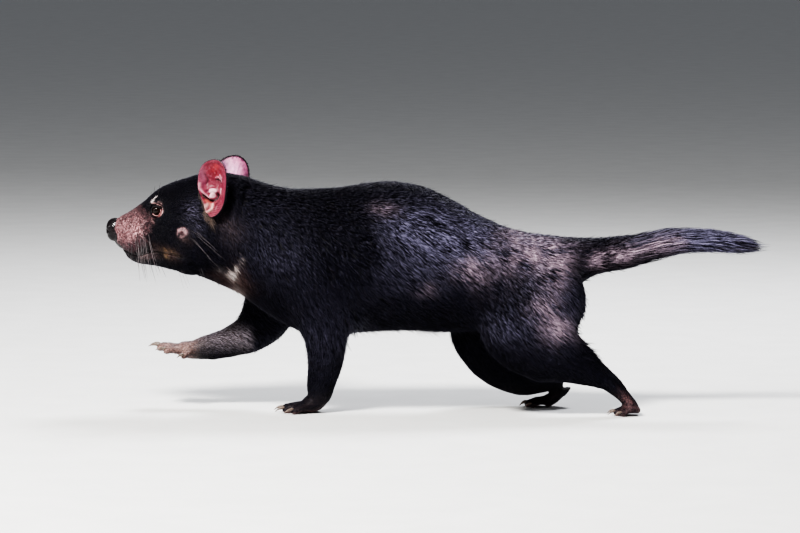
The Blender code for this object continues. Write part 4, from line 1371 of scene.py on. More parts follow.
def tufts(tree, roots, ups, draw):
    """Points of thin tapered tufts that start in the skin and lie along it."""
    length, width, _, lifted = hair_size(roots)
    length = length * draw.uniform(0.75, 1.2, len(roots))
    width = width * draw.uniform(0.7, 1.25, len(roots))
    depth = np.minimum(coat_depth(roots), 0.28 * length) + 0.15
    bend = np.column_stack([ripple(roots, size, seed) for size, seed in ((17, 41), (17, 42), (17, 43))])
    ways = lie(roots) + draw.normal(0, 0.11, roots.shape) + 0.12 * bend
    ways = unit(ways - ups * (ways * ups).sum(1)[:, None])
    middle, middle_up, _ = nearest(tree, roots + ways * (length * 0.5)[:, None])
    end, end_up, _ = nearest(tree, roots + ways * length[:, None])
    stray = (draw.random(len(roots)) > 0.92) * draw.uniform(0.3, 1.3, len(roots))
    lift = (draw.uniform(0.55, 1.2, len(roots)) + stray) * lifted
    across = unit(np.cross(ups, ways))
    rise = (depth * 0.6 * (0.7 + 0.3 * lift))[:, None]
    rings = []
    for centre, up, share in ((roots + ups * -0.5, ups, 0.85), (middle + middle_up * rise, middle_up, 1.0)):
        half = across * (width * share / 2)[:, None]
        rings += [centre - half, centre + half, centre + up * (width * share * 0.42)[:, None]]
    rings.append(end + end_up * (depth * lift)[:, None])
    return np.stack(rings, axis=1)


def coat_mesh(name, points, faces, shares, patch, root_colour, tip_colour, places):
    """One mesh of many tufts or strands of one build, each with its patch on the unwrap.

    points has a row of places for each; faces, shares from root to tip and patch are those of one."""
    count, corners, _ = points.shape
    every = (np.array(faces)[None] + np.arange(count)[:, None, None] * corners).reshape(-1, 3)
    mesh = plain_mesh(name, points.reshape(-1, 3), every)
    share = np.array(shares, float)[None, :, None]
    colours = root_colour[:, None] * (1 - share) + tip_colour[:, None] * share
    set_tint(mesh, colours.reshape(-1, 3))
    flat = (places[:, None] + (np.array(patch) * PATCH)[None]).reshape(-1, 2)
    layer = mesh.uv_layers.new(name="OFBake")
    layer.data.foreach_set("uv", flat[every.ravel()].astype(np.float32).ravel())
    return mesh


def strand_mesh(name, paths, widths, outs, root_colour, tip_colour, places):
    """One mesh of long tapered strands: each follows a path of rings out to a point.

    paths has a row of places for each strand, and the last is its tip; outs are the directions
    away from the body."""
    count, rings, _ = paths.shape
    rings -= 1
    along = unit(np.diff(paths, axis=1))
    across = unit(np.cross(outs, along))
    half = across * widths[:, :rings, None] / 2
    top = np.cross(along, across) * widths[:, :rings, None] * 0.42
    base = paths[:, :rings]
    body = np.stack([base - half, base + half, base + top], axis=2).reshape(count, rings * 3, 3)
    points = np.concatenate([body, paths[:, rings:]], axis=1)
    faces = [(0, 2, 1)]
    for row in range(0, rings * 3 - 3, 3):
        for i, j in ((0, 1), (1, 2), (2, 0)):
            faces += [(row + i, row + j, row + 3 + j), (row + i, row + 3 + j, row + 3 + i)]
    last = rings * 3 - 3
    faces += [(last, last + 1, last + 3), (last + 1, last + 2, last + 3), (last + 2, last, last + 3)]
    shares = np.append(np.repeat(np.arange(rings) / rings, 3), 1.0)
    side = np.append(np.tile([-1, 1, 0], rings), 0)
    patch = np.column_stack([side, shares * 2 - 1 + 0.1 * (side == 0)])
    return coat_mesh(name, points, faces, shares, patch, root_colour, tip_colour, places)


def region_names(points):
    """Which coat piece each tuft belongs to."""
    straight = to_straight(points)[:, 0]
    x, y = points[:, 0], points[:, 1]
    side = np.where(y < 0, "left", "right")
    names = np.where(x < -60, "coat_front_", np.where(x < 60, "coat_middle_", "coat_rear_"))
    names = np.char.add(names, side)
    names = np.where(straight < -228, "coat_head", names)
    names = np.where(x > 188, "coat_tail_root", names)
    return np.where((points[:, 2] < 100) & (straight > -200), "coat_legs", names)


def body_coat(skin, unwrap):
    """The short coat over head, body, legs and the root of the tail."""
    draw = np.random.default_rng(TUFT_SEED)
    points, normals, faces = drawing_points(skin), normals_of(skin), triangles_of(skin)
    tree = BVHTree.FromPolygons(points.tolist(), faces.tolist())
    roots, ups = scattered(points, normals, faces, draw)
    shapes = tufts(tree, roots, ups, draw)
    root_colour, tip_colour = coat_colours(roots, draw)
    places = map_places(unwrap, roots)
    names = region_names(roots)
    finish = coat_finish("black_coat", 0.42, 0.05)
    for name in sorted(set(names)):
        own = np.flatnonzero(names == name)
        parts = math.ceil(len(own) / TUFTS_IN_PIECE)
        for i in range(parts):
            some = own[i::parts]
            label = name if parts == 1 else f"{name}_{i + 1}"
            mesh = coat_mesh(label, shapes[some], TUFT_FACES, TUFT_SHARES, TUFT_PATCH,
                             root_colour[some], tip_colour[some], places[some])
            finish_piece(add_object(label, mesh), finish)


def tail_hair(unwrap):
    """Long tapered locks of the tail in overlapping rows, out to a ragged tip."""
    draw = np.random.default_rng(TUFT_SEED + 1)
    count = TAIL_LOCKS
    x = draw.uniform(246, 368, count)
    turn = draw.uniform(0, 2 * math.pi, count)
    length = (34 + 26 * smooth_step(250, 350, x)) * draw.uniform(0.75, 1.15, count)
    reach = np.minimum(length, 425 - np.minimum(draw.exponential(19, count), 62) - x)
    wisp = (draw.random(count) > 0.55) * (x > 352)
    reach = reach + wisp * draw.uniform(0, 13, count)
    layer = draw.uniform(0.25, 1.0, count) ** 0.6
    twist = draw.normal(0, 0.12, count)
    width = draw.uniform(0.7, 1.5, count)
    # Some locks stand off the rest towards the tip
    loose = (draw.random(count) > 0.78) * draw.uniform(0, 4.6, count) * smooth_step(280, 330, x)
    path, outs = [], []
    for k, share in enumerate((0.0, 0.22, 0.5, 0.78, 1.0)):
        at = x + reach * share
        middle, outline = smooth_row(BRUSH, at)
        inside = np.minimum(smooth_row(BRUSH_CORE, at)[1] - 1.0, outline)
        radius = inside + (outline * layer - inside) * smooth_step(-0.1, 0.75, share)
        if k == 0:
            radius = smooth_row(BRUSH_CORE, x)[1] - 1.2
        radius = radius + loose * share**2
        sway = turn + twist * share
        direction = np.column_stack([np.zeros(count), np.cos(sway), np.sin(sway)])
        centre = np.column_stack([at, np.zeros(count), middle])
        path.append(centre + direction * np.maximum(radius, 0.3)[:, None])
        outs.append(direction)
    path[-1] = path[-1] + draw.normal(0, 1.0, (count, 3))
    path, outs = np.stack(path, axis=1), np.stack(outs[:-1], axis=1)
    widths = width[:, None] * np.array([0.8, 1.0, 0.85, 0.5])[None]
    roots = path[:, 0]
    root_colour, tip_colour = coat_colours(path[:, 2], draw)
    fade = smooth_step(300, 350, roots[:, 0])
    tip_colour = blend((draw.random(count) > 0.82) * 0.6 * fade, tip_colour, (0.075, 0.055, 0.055))
    places = map_places(unwrap, roots)
    mesh = strand_mesh("coat_tail", path, widths, outs, root_colour, tip_colour, places)
    finish_piece(add_object("coat_tail", mesh), coat_finish("tail_hair", 0.42, 0.06), ["tail_brush"])


# Forms of an ear's inner face, in shares of its radii back along the head and up. A line has
# corners, and a patch its middle and radii
TOP_RIDGE = ((0.03, 0.40), (0.13, 0.44), (0.24, 0.43), (0.34, 0.36))
TOP_GROOVE = ((0.05, 0.355), (0.20, 0.375), (0.31, 0.30))
REAR_FOLD = ((0.34, 0.50), (0.44, 0.41), (0.42, 0.28))
FRONT_GROOVE = ((-0.66, 0.50), (-0.52, 0.34), (-0.60, 0.2))
FRONT_RIDGE = ((-0.84, 0.20), (-0.80, 0.02), (-0.60, -0.11), (-0.24, -0.29))
LOBE_FOLD = ((-0.30, -0.50), (-0.34, -0.72))
UPPER_BOWL = (0.0, 0.62, 0.6, 0.25)
# Each is form, width of a line in mm, height in mm
EAR_HEIGHTS = [
    (UPPER_BOWL, None, 3.5), ((-0.05, 0.62, 0.35, 0.18), None, -2.0),
    (TOP_RIDGE, 1.5, 2.4), (TOP_GROOVE, 1.1, -2.2), (REAR_FOLD, 1.3, 2.0),
    (FRONT_GROOVE, 1.4, -1.0), (FRONT_RIDGE, 1.9, 3.0), ((-0.43, -0.03, 0.08, 0.04), None, -2.0),
    (((-0.62, -0.20), (-0.40, -0.29), (-0.16, -0.365)), 1.5, -4.5),
    ((0.10, -0.20, 0.16, 0.07), None, -4.5), (((0.16, -0.22), (0.20, -0.30)), 1.5, -3.0),
    (((0.41, -0.03), (0.46, -0.18), (0.30, -0.34), (0.10, -0.47), (0.08, -0.60)), 1.7, 3.2),
    (((-0.04, -0.47), (-0.02, -0.62), (-0.25, -0.80), (-0.22, -0.97)), 2.0, 2.2),
    (((0.04, -0.50), (0.04, -0.66), (-0.10, -0.82)), 1.3, -2.0), (LOBE_FOLD, 2.2, 1.6),
]
# Each is form, width, share, colour, and lies over those before it
EAR_FLESH = [
    ((-0.78, 0.50, 0.20, 0.44), None, 0.85, (0.24, 0.085, 0.115)),
    ((-0.02, 0.60, 0.46, 0.22), None, 1, (0.175, 0.004, 0.010)),
    ((0.12, 0.77, 0.22, 0.10), None, 0.9, (0.27, 0.020, 0.022)),
    ((0.74, 0.34, 0.17, 0.26), None, 0.8, (0.27, 0.055, 0.085)),
    ((0.10, 0.25, 0.32, 0.16), None, 0.8, (0.150, 0.026, 0.036)),
    ((0.72, -0.30, 0.18, 0.42), None, 0.8, (0.20, 0.030, 0.050)),
]
# Painted highlights along the ridges and painted shade in the grooves of the folds
EAR_FOLD_LIGHT_AND_SHADE = [
    (TOP_RIDGE, 1.1, 1, (0.46, 0.18, 0.19)), (TOP_GROOVE, 0.9, 1, (0.03, 0.002, 0.003)),
    (REAR_FOLD, 0.8, 0.9, (0.56, 0.28, 0.30)), (FRONT_GROOVE, 1.2, 0.7, (0.06, 0.005, 0.012)),
    (FRONT_RIDGE, 1.1, 1, (0.50, 0.27, 0.27)),
]
EAR_CANAL = [
    # Painted shade in a hollow before the tragus and in the deep groove round its foot
    ((-0.43, -0.03, 0.10, 0.05), None, 1, (0.10, 0.012, 0.03)),
    (((-0.62, -0.20), (-0.40, -0.30), (-0.16, -0.37), (0.04, -0.33), (0.15, -0.22), (0.17, -0.12)),
     1.5, 1, (0.012, 0.0015, 0.002)),
    (((-0.45, -0.36), (-0.2, -0.45), (-0.12, -0.54)), 1.7, 0.9, (0.36, 0.10, 0.065)),
    # A painted highlight along the rear ridge
    (((0.36, 0.04), (0.42, -0.06), (0.38, -0.20)), 1.1, 1, (0.56, 0.29, 0.29)),
    (((0.40, -0.16), (0.27, -0.34), (0.10, -0.47), (0.08, -0.60)), 1.3, 0.8, (0.24, 0.04, 0.045)),
    (((-0.04, -0.47), (-0.02, -0.62), (-0.22, -0.80), (-0.22, -0.97)), 1.3, 1, (0.62, 0.41, 0.31)),
    (LOBE_FOLD, 1.8, 0.85, (0.52, 0.36, 0.27)),
]
EAR_TINT = (0.82, 0.70, 0.86)


class EarFace:
    """Places on an ear, at shares of its radii back along the head and up."""

    def __init__(self, a, u):
        self.a = a
        self.u = u
        self.at = np.column_stack([a * EAR_RADII[0], u * EAR_RADII[1]])
        self.reach = np.hypot(a, u) / round_reach(EAR_REACH, np.arctan2(u, a))

    def mark(self, form, width=None):
        """1 on a patch, or on a line that has a width in mm, fading to nothing round it."""
        if width:
            return stroke(self.at, np.array(form) * EAR_RADII, width)
        middle_a, middle_u, radius_a, radius_u = form
        return np.exp(-(((self.a - middle_a) / radius_a) ** 2 + ((self.u - middle_u) / radius_u) ** 2))

    def painted(self, colour, rows):
        for form, width, share, above in rows:
            colour = blend(self.mark(form, width) * share, colour, above)
        return colour

    def mottle(self, size, seed):
        return ripple(np.column_stack([self.at, self.at[:, 0] * 0]), size, seed)

    def ribs(self):
        """Fine ribs across the ear, from -1 to 1."""
        return np.sin(self.at[:, 1] * 2 * math.pi / 2.3 + self.at[:, 0] * 0.25)

    def back_colours(self):
        colour = np.tile([0.46, 0.13, 0.22], (len(self.a), 1))
        # Painted glow: the middle of the back is painted pale pink as if light shone through the thin ear
        colour = blend(self.mark((0.05, 0.50, 0.50, 0.40)), colour, (0.90, 0.52, 0.68))
        flecks = smooth_step(0.2, 0.9, self.mottle(4.5, 51)) * smooth_step(0.6, 0.95, self.reach)
        colour = blend(flecks, colour, (0.22, 0.06, 0.12))
        colour = blend(self.mark((-0.6, 0.72, 0.35, 0.30)) * 0.8, colour, (0.16, 0.07, 0.13))
        colour = blend(smooth_step(0.95, 1.0, self.reach), colour, (0.03, 0.014, 0.02))
        return blend(smooth_step(0.12, -0.30, self.u), colour, (0.010, 0.008, 0.010))

    def inner_colours(self):
        colour = self.painted(np.tile([0.165, 0.016, 0.032], (len(self.a), 1)), EAR_FLESH)
        colour = blend(smooth_step(0.3, 1.0, self.mottle(4.5, 51)) * 0.35, colour, (0.30, 0.10, 0.12))
        # Painted highlights on the crests of the low ribs and painted shade between them
        ribs = self.ribs() * 0.5 + 0.5
        lower = smooth_step(-0.30, -0.60, self.u) * smooth_step(-0.15, 0.1, self.a)
        colour = blend(lower * ribs * 0.6, colour, (0.36, 0.12, 0.14))
        colour = blend(lower * (1 - ribs) * 0.7, colour, (0.060, 0.006, 0.010))
        colour = self.painted(colour, EAR_FOLD_LIGHT_AND_SHADE)
        # Painted highlight on the raised tragus
        tragus = np.maximum(self.mark((-0.14, -0.03, 0.30, 0.10)), self.mark((-0.13, -0.17, 0.16, 0.12)))
        colour = blend(smooth_step(0.3, 0.7, tragus), colour, (0.66, 0.45, 0.42))
        colour = self.painted(colour, EAR_CANAL)
        return blend(smooth_step(0.965, 1.0, self.reach), colour, (0.035, 0.012, 0.018))

    def relief(self):
        """Height of the inner face, in mm: its bowl, folds and the way into the canal."""
        height = -EAR_DEPTH * (1 - np.minimum(self.reach, 1) ** 2.0)
        for form, width, rise in EAR_HEIGHTS:
            height = height + rise * self.mark(form, width)
        tragus = np.maximum(self.mark((-0.14, -0.03, 0.34, 0.12)), self.mark((-0.13, -0.17, 0.18, 0.13)))
        height += 6.0 * tragus
        ribbed = (0.12 + 0.25 * smooth_step(-0.35, -0.65, self.u)) * smooth_step(0.0, 0.35, self.a)
        height += self.ribs() * ribbed * smooth_step(1, 0.8, self.reach)
        height += 0.35 * self.mottle(7.0, 52) * smooth_step(1, 0.7, self.reach)
        # A soft floor keeps the hollows from going through the ear's back
        deepest = -EAR_DEPTH - 0.6
        height = deepest + np.logaddexp(0, 2 * (height - deepest)) / 2
        return height + 0.9 * bell(self.reach, 0.94, 0.045)


def ear_place(side, a, u, height):
    """Places on the straight head for shares of an ear's radii and a height out of its rim."""
    back, up, out = ways_round(EAR_FACING, side)
    flat = on_side(EAR_CENTRES[side], side) + back * (EAR_RADII[0] * a)[:, None]
    return flat + up * (EAR_RADII[1] * u)[:, None] + out * height[:, None]


def ear(side, word, finish):
    """A cupped ear with folds, a rolled rim and a thin back."""
    turns, inner, outer = 150, 46, 16
    rim = [0.998, 1.004, 0.998]
    rim_drop = [0.25, 0.7, 1.1]
    shares = np.concatenate([np.linspace(0.015, 0.985, inner), rim, np.linspace(0.985, 0.02, outer)])
    angle = np.arange(turns) * 2 * math.pi / turns
    rows, tints = [], []
    for k, share in enumerate(shares):
        reach = share * round_reach(EAR_REACH, angle)
        a, u = reach * np.cos(angle), reach * np.sin(angle)
        face = EarFace(a, u)
        height = face.relief()
        if inner <= k < inner + len(rim):
            height = height - rim_drop[k - inner]
        elif k >= inner + len(rim):
            bowl = -EAR_DEPTH * (1 - share**2.0) + 3.5 * face.mark(UPPER_BOWL)
            height = np.minimum(bowl, height) - 1.1 - 0.9 * (1 - share)
        rows.append(ear_place(side, a, u, height))
        tints.append(face.inner_colours() if k < inner else face.back_colours())
    i = np.arange(turns)
    j = (i + 1) % turns
    lows = np.arange(len(shares) - 1) * turns
    faces = [np.column_stack([low + i, low + j, low + turns + j, low + turns + i]) for low in lows]
    mesh = plain_mesh(f"ear_{word}_cup", to_turned(np.vstack(rows)), np.vstack(faces))
    outward(mesh)
    colours = np.vstack(tints) * EAR_TINT
    set_tint(mesh, colours)
    set_tint(mesh, colours * 1.4 + 0.012, "tint_pale")
    finish_piece(add_object(f"ear_{word}_cup", mesh), finish, [f"ear_{word}"])


# How many hairs each ear has along its rim, on its back, at its low front edge and below it
RIM_HAIRS, BACK_HAIRS, CREAM_HAIRS, LONG_HAIRS = 1100, 700, 220, 40
DARK, DUSK = np.array([0.006, 0.005, 0.006]), np.array([0.012, 0.010, 0.013])
CREAM, IVORY = np.array([0.16, 0.11, 0.085]), np.array([0.42, 0.33, 0.28])


def ear_hair(unwrap):
    """Fine dark hair along the ears' rims and backs, and cream strands at their low front edge."""
    draw = np.random.default_rng(TUFT_SEED + 3)
    paths, outs, widths, low_colours, high_colours = [], [], [], [], []

    def add(side, a, u, height, ways, length, width, low, high, curl=0.0):
        """Adds strands that start at places of an ear and run in ways given back, up and out."""
        back, up, out = ways_round(EAR_FACING, side)
        start = ear_place(side, a, u, height)
        way = unit(ways[:, :1] * back + ways[:, 1:2] * up + ways[:, 2:] * out)
        droop = np.array([0.0, 0, -0.16]) + back * curl
        wave = draw.normal(0, 0.05, (len(a), 1)) * back
        steps = []
        for s in (0.0, 0.3, 0.6, 0.85, 1.0):
            along = (way + wave * math.sin(9 * s)) * (length * s)[:, None]
            steps.append(start + along + droop * (length * s * s)[:, None])
        paths.append(to_turned(np.vstack(steps)).reshape(5, len(a), 3).transpose(1, 0, 2))
        outs.append(turn_directions(np.tile(out, (len(a), 1)), start[:, 0])[:, None].repeat(4, 1))
        widths.append(width[:, None] * np.array([0.9, 1.0, 0.8, 0.5])[None])
        low_colours.append(np.tile(low, (len(a), 1)) * draw.uniform(0.4, 1.4, (len(a), 1)))
        high_colours.append(np.tile(high, (len(a), 1)) * draw.uniform(0.5, 1.2, (len(a), 1)))

    for side in (-1, 1):
        count = RIM_HAIRS
        angle = draw.uniform(math.radians(-70), math.radians(205), count)
        reach = draw.uniform(0.95, 1.0, count) * round_reach(EAR_REACH, angle)
        a, u = reach * np.cos(angle), reach * np.sin(angle)
        ways = np.column_stack([np.cos(angle) * 0.7, np.sin(angle) * 0.9, draw.uniform(-1.2, -0.4, count)])
        ways += draw.normal(0, 0.25, (count, 3))
        add(side, a, u, draw.uniform(-1.8, -0.7, count), ways, draw.uniform(1.2, 2.8, count),
            draw.uniform(0.2, 0.36, count), DARK, DUSK)
        count = BACK_HAIRS
        angle = draw.uniform(math.pi, 2 * math.pi, count)
        share = np.sqrt(draw.uniform(0.05, 0.95, count))
        reach = share * round_reach(EAR_REACH, angle)
        a, u = reach * np.cos(angle), reach * np.sin(angle) + 0.15
        # These start below the bowl and follow the slope of the back
        start = np.minimum(-EAR_DEPTH * (1 - share**2.0), EarFace(a, u).relief()) - 2.2
        ways = np.column_stack([draw.normal(0.1, 0.2, count), np.ones(count), -0.75 * share - 0.12])
        add(side, a, u, start, ways, draw.uniform(1.6, 3.0, count),
            draw.uniform(0.2, 0.32, count), DARK, DUSK)
        count = CREAM_HAIRS
        share = draw.uniform(0, 1, count) ** 0.8
        corners = np.array([(-0.82, -0.10), (-0.62, -0.28), (-0.46, -0.46), (-0.36, -0.70), (-0.28, -0.95)])
        a = np.interp(share, np.linspace(0, 1, 5), corners[:, 0]) + draw.normal(0, 0.09, count)
        u = np.interp(share, np.linspace(0, 1, 5), corners[:, 1]) + draw.normal(0, 0.03, count)
        back, out = draw.normal(0.12, 0.16, count), draw.normal(-0.12, 0.12, count)
        start = -EAR_DEPTH * (1 - np.clip(np.hypot(a, u) / 0.8, 0, 1) ** 2) * 0.4 - 1.6
        add(side, a, u, start, np.column_stack([back, np.full(count, -1.0), out]),
            draw.uniform(3.0, 8.5, count), draw.uniform(0.12, 0.22, count), CREAM, IVORY, 0.15)
        count = LONG_HAIRS
        a, u = draw.uniform(-0.25, 0.15, count), draw.uniform(-1.0, -0.8, count)
        back, out = draw.normal(0.35, 0.15, count), draw.normal(-0.20, 0.05, count)
        add(side, a, u, np.full(count, -1.8), np.column_stack([back, np.full(count, -1.0), out]),
            draw.uniform(8, 18, count), draw.uniform(0.14, 0.24, count), CREAM, IVORY * 0.6, 0.2)
    paths = np.vstack(paths)
    mesh = strand_mesh("ear_hair", paths, np.vstack(widths), np.vstack(outs), np.vstack(low_colours),
                       np.vstack(high_colours), map_places(unwrap, paths[:, 0]))
    finish_piece(add_object("ear_hair", mesh), coat_finish("ear_hair", 0.45, 0.03))


def ball(level):
    """Points and faces of a unit sphere of even triangles."""
    bm = bmesh.new()
    bmesh.ops.create_icosphere(bm, subdivisions=level, radius=1.0)
    return read_out(bm)


def eyeball(side, word, finish):
    """A dark wet eye with a slight bulge over the iris."""
    back, _, out = ways_round(EYE_FACING, side)
    points, faces = ball(5)
    ahead = points @ unit(out + 0.10 * back)
    bulge = 1 + 0.03 * smooth_step(0.72, 1.0, ahead)
    angle = np.degrees(np.arccos(np.clip(ahead, -1, 1)))
    colour = np.tile([0.003, 0.002, 0.002], (len(points), 1))
    colour = blend(smooth_step(17, 20, angle), colour, (0.009, 0.0035, 0.0025))
    colour = blend(smooth_step(36, 43, angle), colour, (0.005, 0.0025, 0.002))
    colour = blend(smooth_step(56, 70, angle), colour, (0.03, 0.010, 0.010))
    place = points * (EYE_RADIUS * bulge)[:, None] + on_side(EYE_CENTRE, side)
    mesh = plain_mesh(f"eyeball_{word}", to_turned(place), faces)
    set_tint(mesh, colour)
    finish_piece(add_object(f"eyeball_{word}", mesh), finish, [f"eye_{word}"])


def lid_margins(finish):
    """The wet rolled edges of the lids, dark above and pink below, where they meet the eye."""
    turns, sides = 120, 10
    points, faces, colours = [], [], []
    for side in (-1, 1):
        back, up, out = ways_round(EYE_FACING, side)
        angle = np.arange(turns) * 2 * math.pi / turns
        reach = round_reach(LID_REACH, angle) + 0.45
        a, u = reach * np.cos(angle) + LID_MIDDLE[0], reach * np.sin(angle) + LID_MIDDLE[1]
        level = np.sqrt((EYE_RADIUS + 0.55) ** 2 - a**2 - u**2)
        spine = back * a[:, None] + up * u[:, None] + out * level[:, None]
        along = unit(np.roll(spine, -1, 0) - np.roll(spine, 1, 0))
        high = unit(spine - along * (spine * along).sum(1)[:, None])
        wide = np.cross(along, high)
        top = smooth_step(1.6, 0.5, band_width(np.arctan2(np.sin(angle), np.cos(angle))))
        radius = 0.62 + 0.3 * top
        base = len(points) * turns
        for i in range(sides):
            turn = 2 * math.pi * i / sides
            ring = spine + (high * math.cos(turn) + wide * math.sin(turn)) * radius[:, None]
            points.append(to_turned(ring + on_side(EYE_CENTRE, side)))
            colours.append(blend(top, np.tile([0.34, 0.13, 0.14], (turns, 1)), (0.004, 0.003, 0.0035)))
        here = np.arange(turns)
        after = (here + 1) % turns
        for i in range(sides):
            row, next_row = base + i * turns, base + ((i + 1) % sides) * turns
            quad = np.column_stack([row + here, row + after, next_row + after, next_row + here])
            faces.append(quad if side < 0 else quad[:, ::-1])
    mesh = plain_mesh("lid_margins", np.vstack(points), np.vstack(faces))
    outward(mesh)
    set_tint(mesh, np.vstack(colours))
    set_tint(mesh, np.vstack(colours) * 1.3, "tint_pale")
    finish_piece(add_object("lid_margins", mesh), finish)


def nose_pad():
    """The bare nose: a blunt pad with a groove down its middle and two comma-shaped nostrils."""
    points, faces = ball(6)
    # A squarer section than a ball's, flat where it meets the muzzle
    points = np.sign(points) * np.abs(points) ** np.array([0.92, 0.88, 0.88])
    points = points * NOSE_RADII * (1.0, 0.97, 0.97)
    x, y, z = points.T
    side = np.abs(y)
    normals = unit(points / NOSE_RADII**2)
    height = -0.9 * bell(y, 0, 0.8) * smooth_step(2, -4, x) * smooth_step(9, 2, z)
    hole = np.exp(-(((side - 6.6) / 2.3) ** 2 + ((z - 0.2) / 3.2) ** 2)) * (x < 1)
    slit = np.exp(-(((side - 9.6 - 0.25 * z) / 2.6) ** 2 + ((z + 1.6) / 1.2) ** 2)) * (x < 4)
    hole = np.clip(hole * 1.25 + slit, 0, 1)
    height = height - 4.2 * smooth_step(0.30, 0.9, hole)
    wing = np.exp(-(((side - 9.5) / 2.8) ** 2 + ((z - 4.2) / 2.4) ** 2)) * (x < 4)
    height = height + 0.9 * wing + 0.5 * np.exp(-(((z - 10) / 4) ** 2 + (y / 7) ** 2)) * (x < 0)
    height = height - 0.5 * bell(z, -6.5, 1.6) * smooth_step(3, -2, x)
    height = height + 0.10 * ripple(points, 3.0, 21)
    points = points + normals * height[:, None] + NOSE_CENTRE
    colour = np.tile([0.0045, 0.0032, 0.0040], (len(points), 1))
    colour = blend(smooth_step(0.3, 0.8, hole), colour, (0.008, 0.0015, 0.002))
    mesh = plain_mesh("nose_pad", to_turned(points), faces)
    set_tint(mesh, colour)
    finish_piece(add_object("nose_pad", mesh), nose_finish(), ["nose"])


def claws(finish):
    """The claws, rounded from their solids."""
    names = sorted(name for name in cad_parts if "claw" in name)
    for group in ("foreclaw", "hindclaw"):
        bm = bmesh.new()
        own = [name for name in names if name.startswith(group)]
        for name in own:
            bm.from_mesh(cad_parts[name].data)
        bmesh.ops.remove_doubles(bm, verts=bm.verts, dist=1e-6)
        mesh = bpy.data.meshes.new(group + "s")
        bm.to_mesh(mesh)
        bm.free()
        thing = add_object(group + "s", mesh)
        subdivide = thing.modifiers.new("round", "SUBSURF")
        subdivide.levels = subdivide.render_levels = 2
        mesh = evaluated(thing, group + "s")
        smooth_faces(mesh)
        set_tint(mesh, np.tile([0.085, 0.06, 0.05], (len(mesh.vertices), 1)))
        finish_piece(add_object(group + "s", mesh), finish, own)


# Whiskers of the left half: root on the straight head, first direction, length, and how much painted sheen
# greys it
WHISKERS = [
    ((-372, -31, 222), (0.10, -0.50, -0.86), 30, 0.25),
    ((-369, -33, 218), (0.14, -0.46, -0.88), 40, 0.4),
    ((-365, -34, 224), (0.18, -0.50, -0.84), 44, 0.2),
    ((-362, -35, 219), (0.16, -0.42, -0.89), 47, 0.35),
    ((-359, -36, 225), (0.22, -0.50, -0.83), 50, 0.5),
    ((-357, -37, 217), (0.20, -0.42, -0.88), 50, 0.0),
    ((-370, -32, 229), (0.15, -0.70, -0.70), 34, 0.1),
    ((-362, -36, 231), (0.25, -0.62, -0.74), 42, 0.3),
    ((-376, -30, 215), (0.05, -0.45, -0.88), 26, 0.0),
    ((-366, -33, 213), (0.12, -0.36, -0.92), 40, 0.3),
    ((-368, -33, 209), (0.09, -0.34, -0.93), 38, 0.5),
    ((-364, -33, 208), (0.14, -0.36, -0.92), 42, 0.0),
    ((-353, -38, 221), (0.26, -0.45, -0.85), 46, 0.6),
    ((-354, -38, 229), (0.32, -0.55, -0.76), 44, 0.2),
    ((-380, -28, 221), (0.0, -0.60, -0.78), 24, 0.0),
    ((-290, -64, 238), (0.78, -0.42, -0.45), 46, 0.35),
    ((-289, -65, 232), (0.76, -0.40, -0.50), 54, 0.4),
    ((-290, -65, 226), (0.72, -0.40, -0.55), 52, 0.3),
    ((-296, -64, 229), (0.70, -0.42, -0.55), 44, 0.3),
    ((-294, -64, 236), (0.80, -0.50, -0.30), 40, 0.3),
    ((-308, -53, 184), (0.35, -0.3, -0.88), 27, 0.5),
    ((-312, -50, 183), (0.25, -0.3, -0.92), 24, 0.3),
    ((-304, -52, 185), (0.42, -0.3, -0.86), 22, 0.1),
    ((-281, -55, 187), (0.4, -0.4, -0.82), 18, 0.2),
    ((-284, -53, 185), (0.45, -0.35, -0.82), 16, 0.1),
    ((-350, -30, 276), (0.10, -0.45, 0.88), 22, 0.0),
    ((-346, -28, 280), (0.20, -0.40, 0.90), 27, 0.1),
    ((-341, -30, 278), (0.32, -0.45, 0.83), 20, 0.0),
    ((-353, -29, 272), (0.02, -0.50, 0.86), 16, 0.1),
    ((-386, -22, 198), (0.2, -0.5, -0.85), 12, 0.4),
    ((-376, -24, 193), (0.25, -0.5, -0.85), 14, 0.3),
    ((-366, -26, 190), (0.3, -0.5, -0.85), 15, 0.5),
    ((-355, -28, 187), (0.3, -0.4, -0.87), 14, 0.2),
]
# How far to the side they may reach, and how thick they are at the root on the muzzle and elsewhere
WHISKER_REACH = 70.0
MUZZLE_WHISKER, FINE_WHISKER = 0.9, 0.42
# A whisker's own dark, and the grey of the painted sheen on it
WHISKER_DARK, WHISKER_SHEEN = np.array([0.008, 0.006, 0.008]), np.array([0.30, 0.24, 0.25])


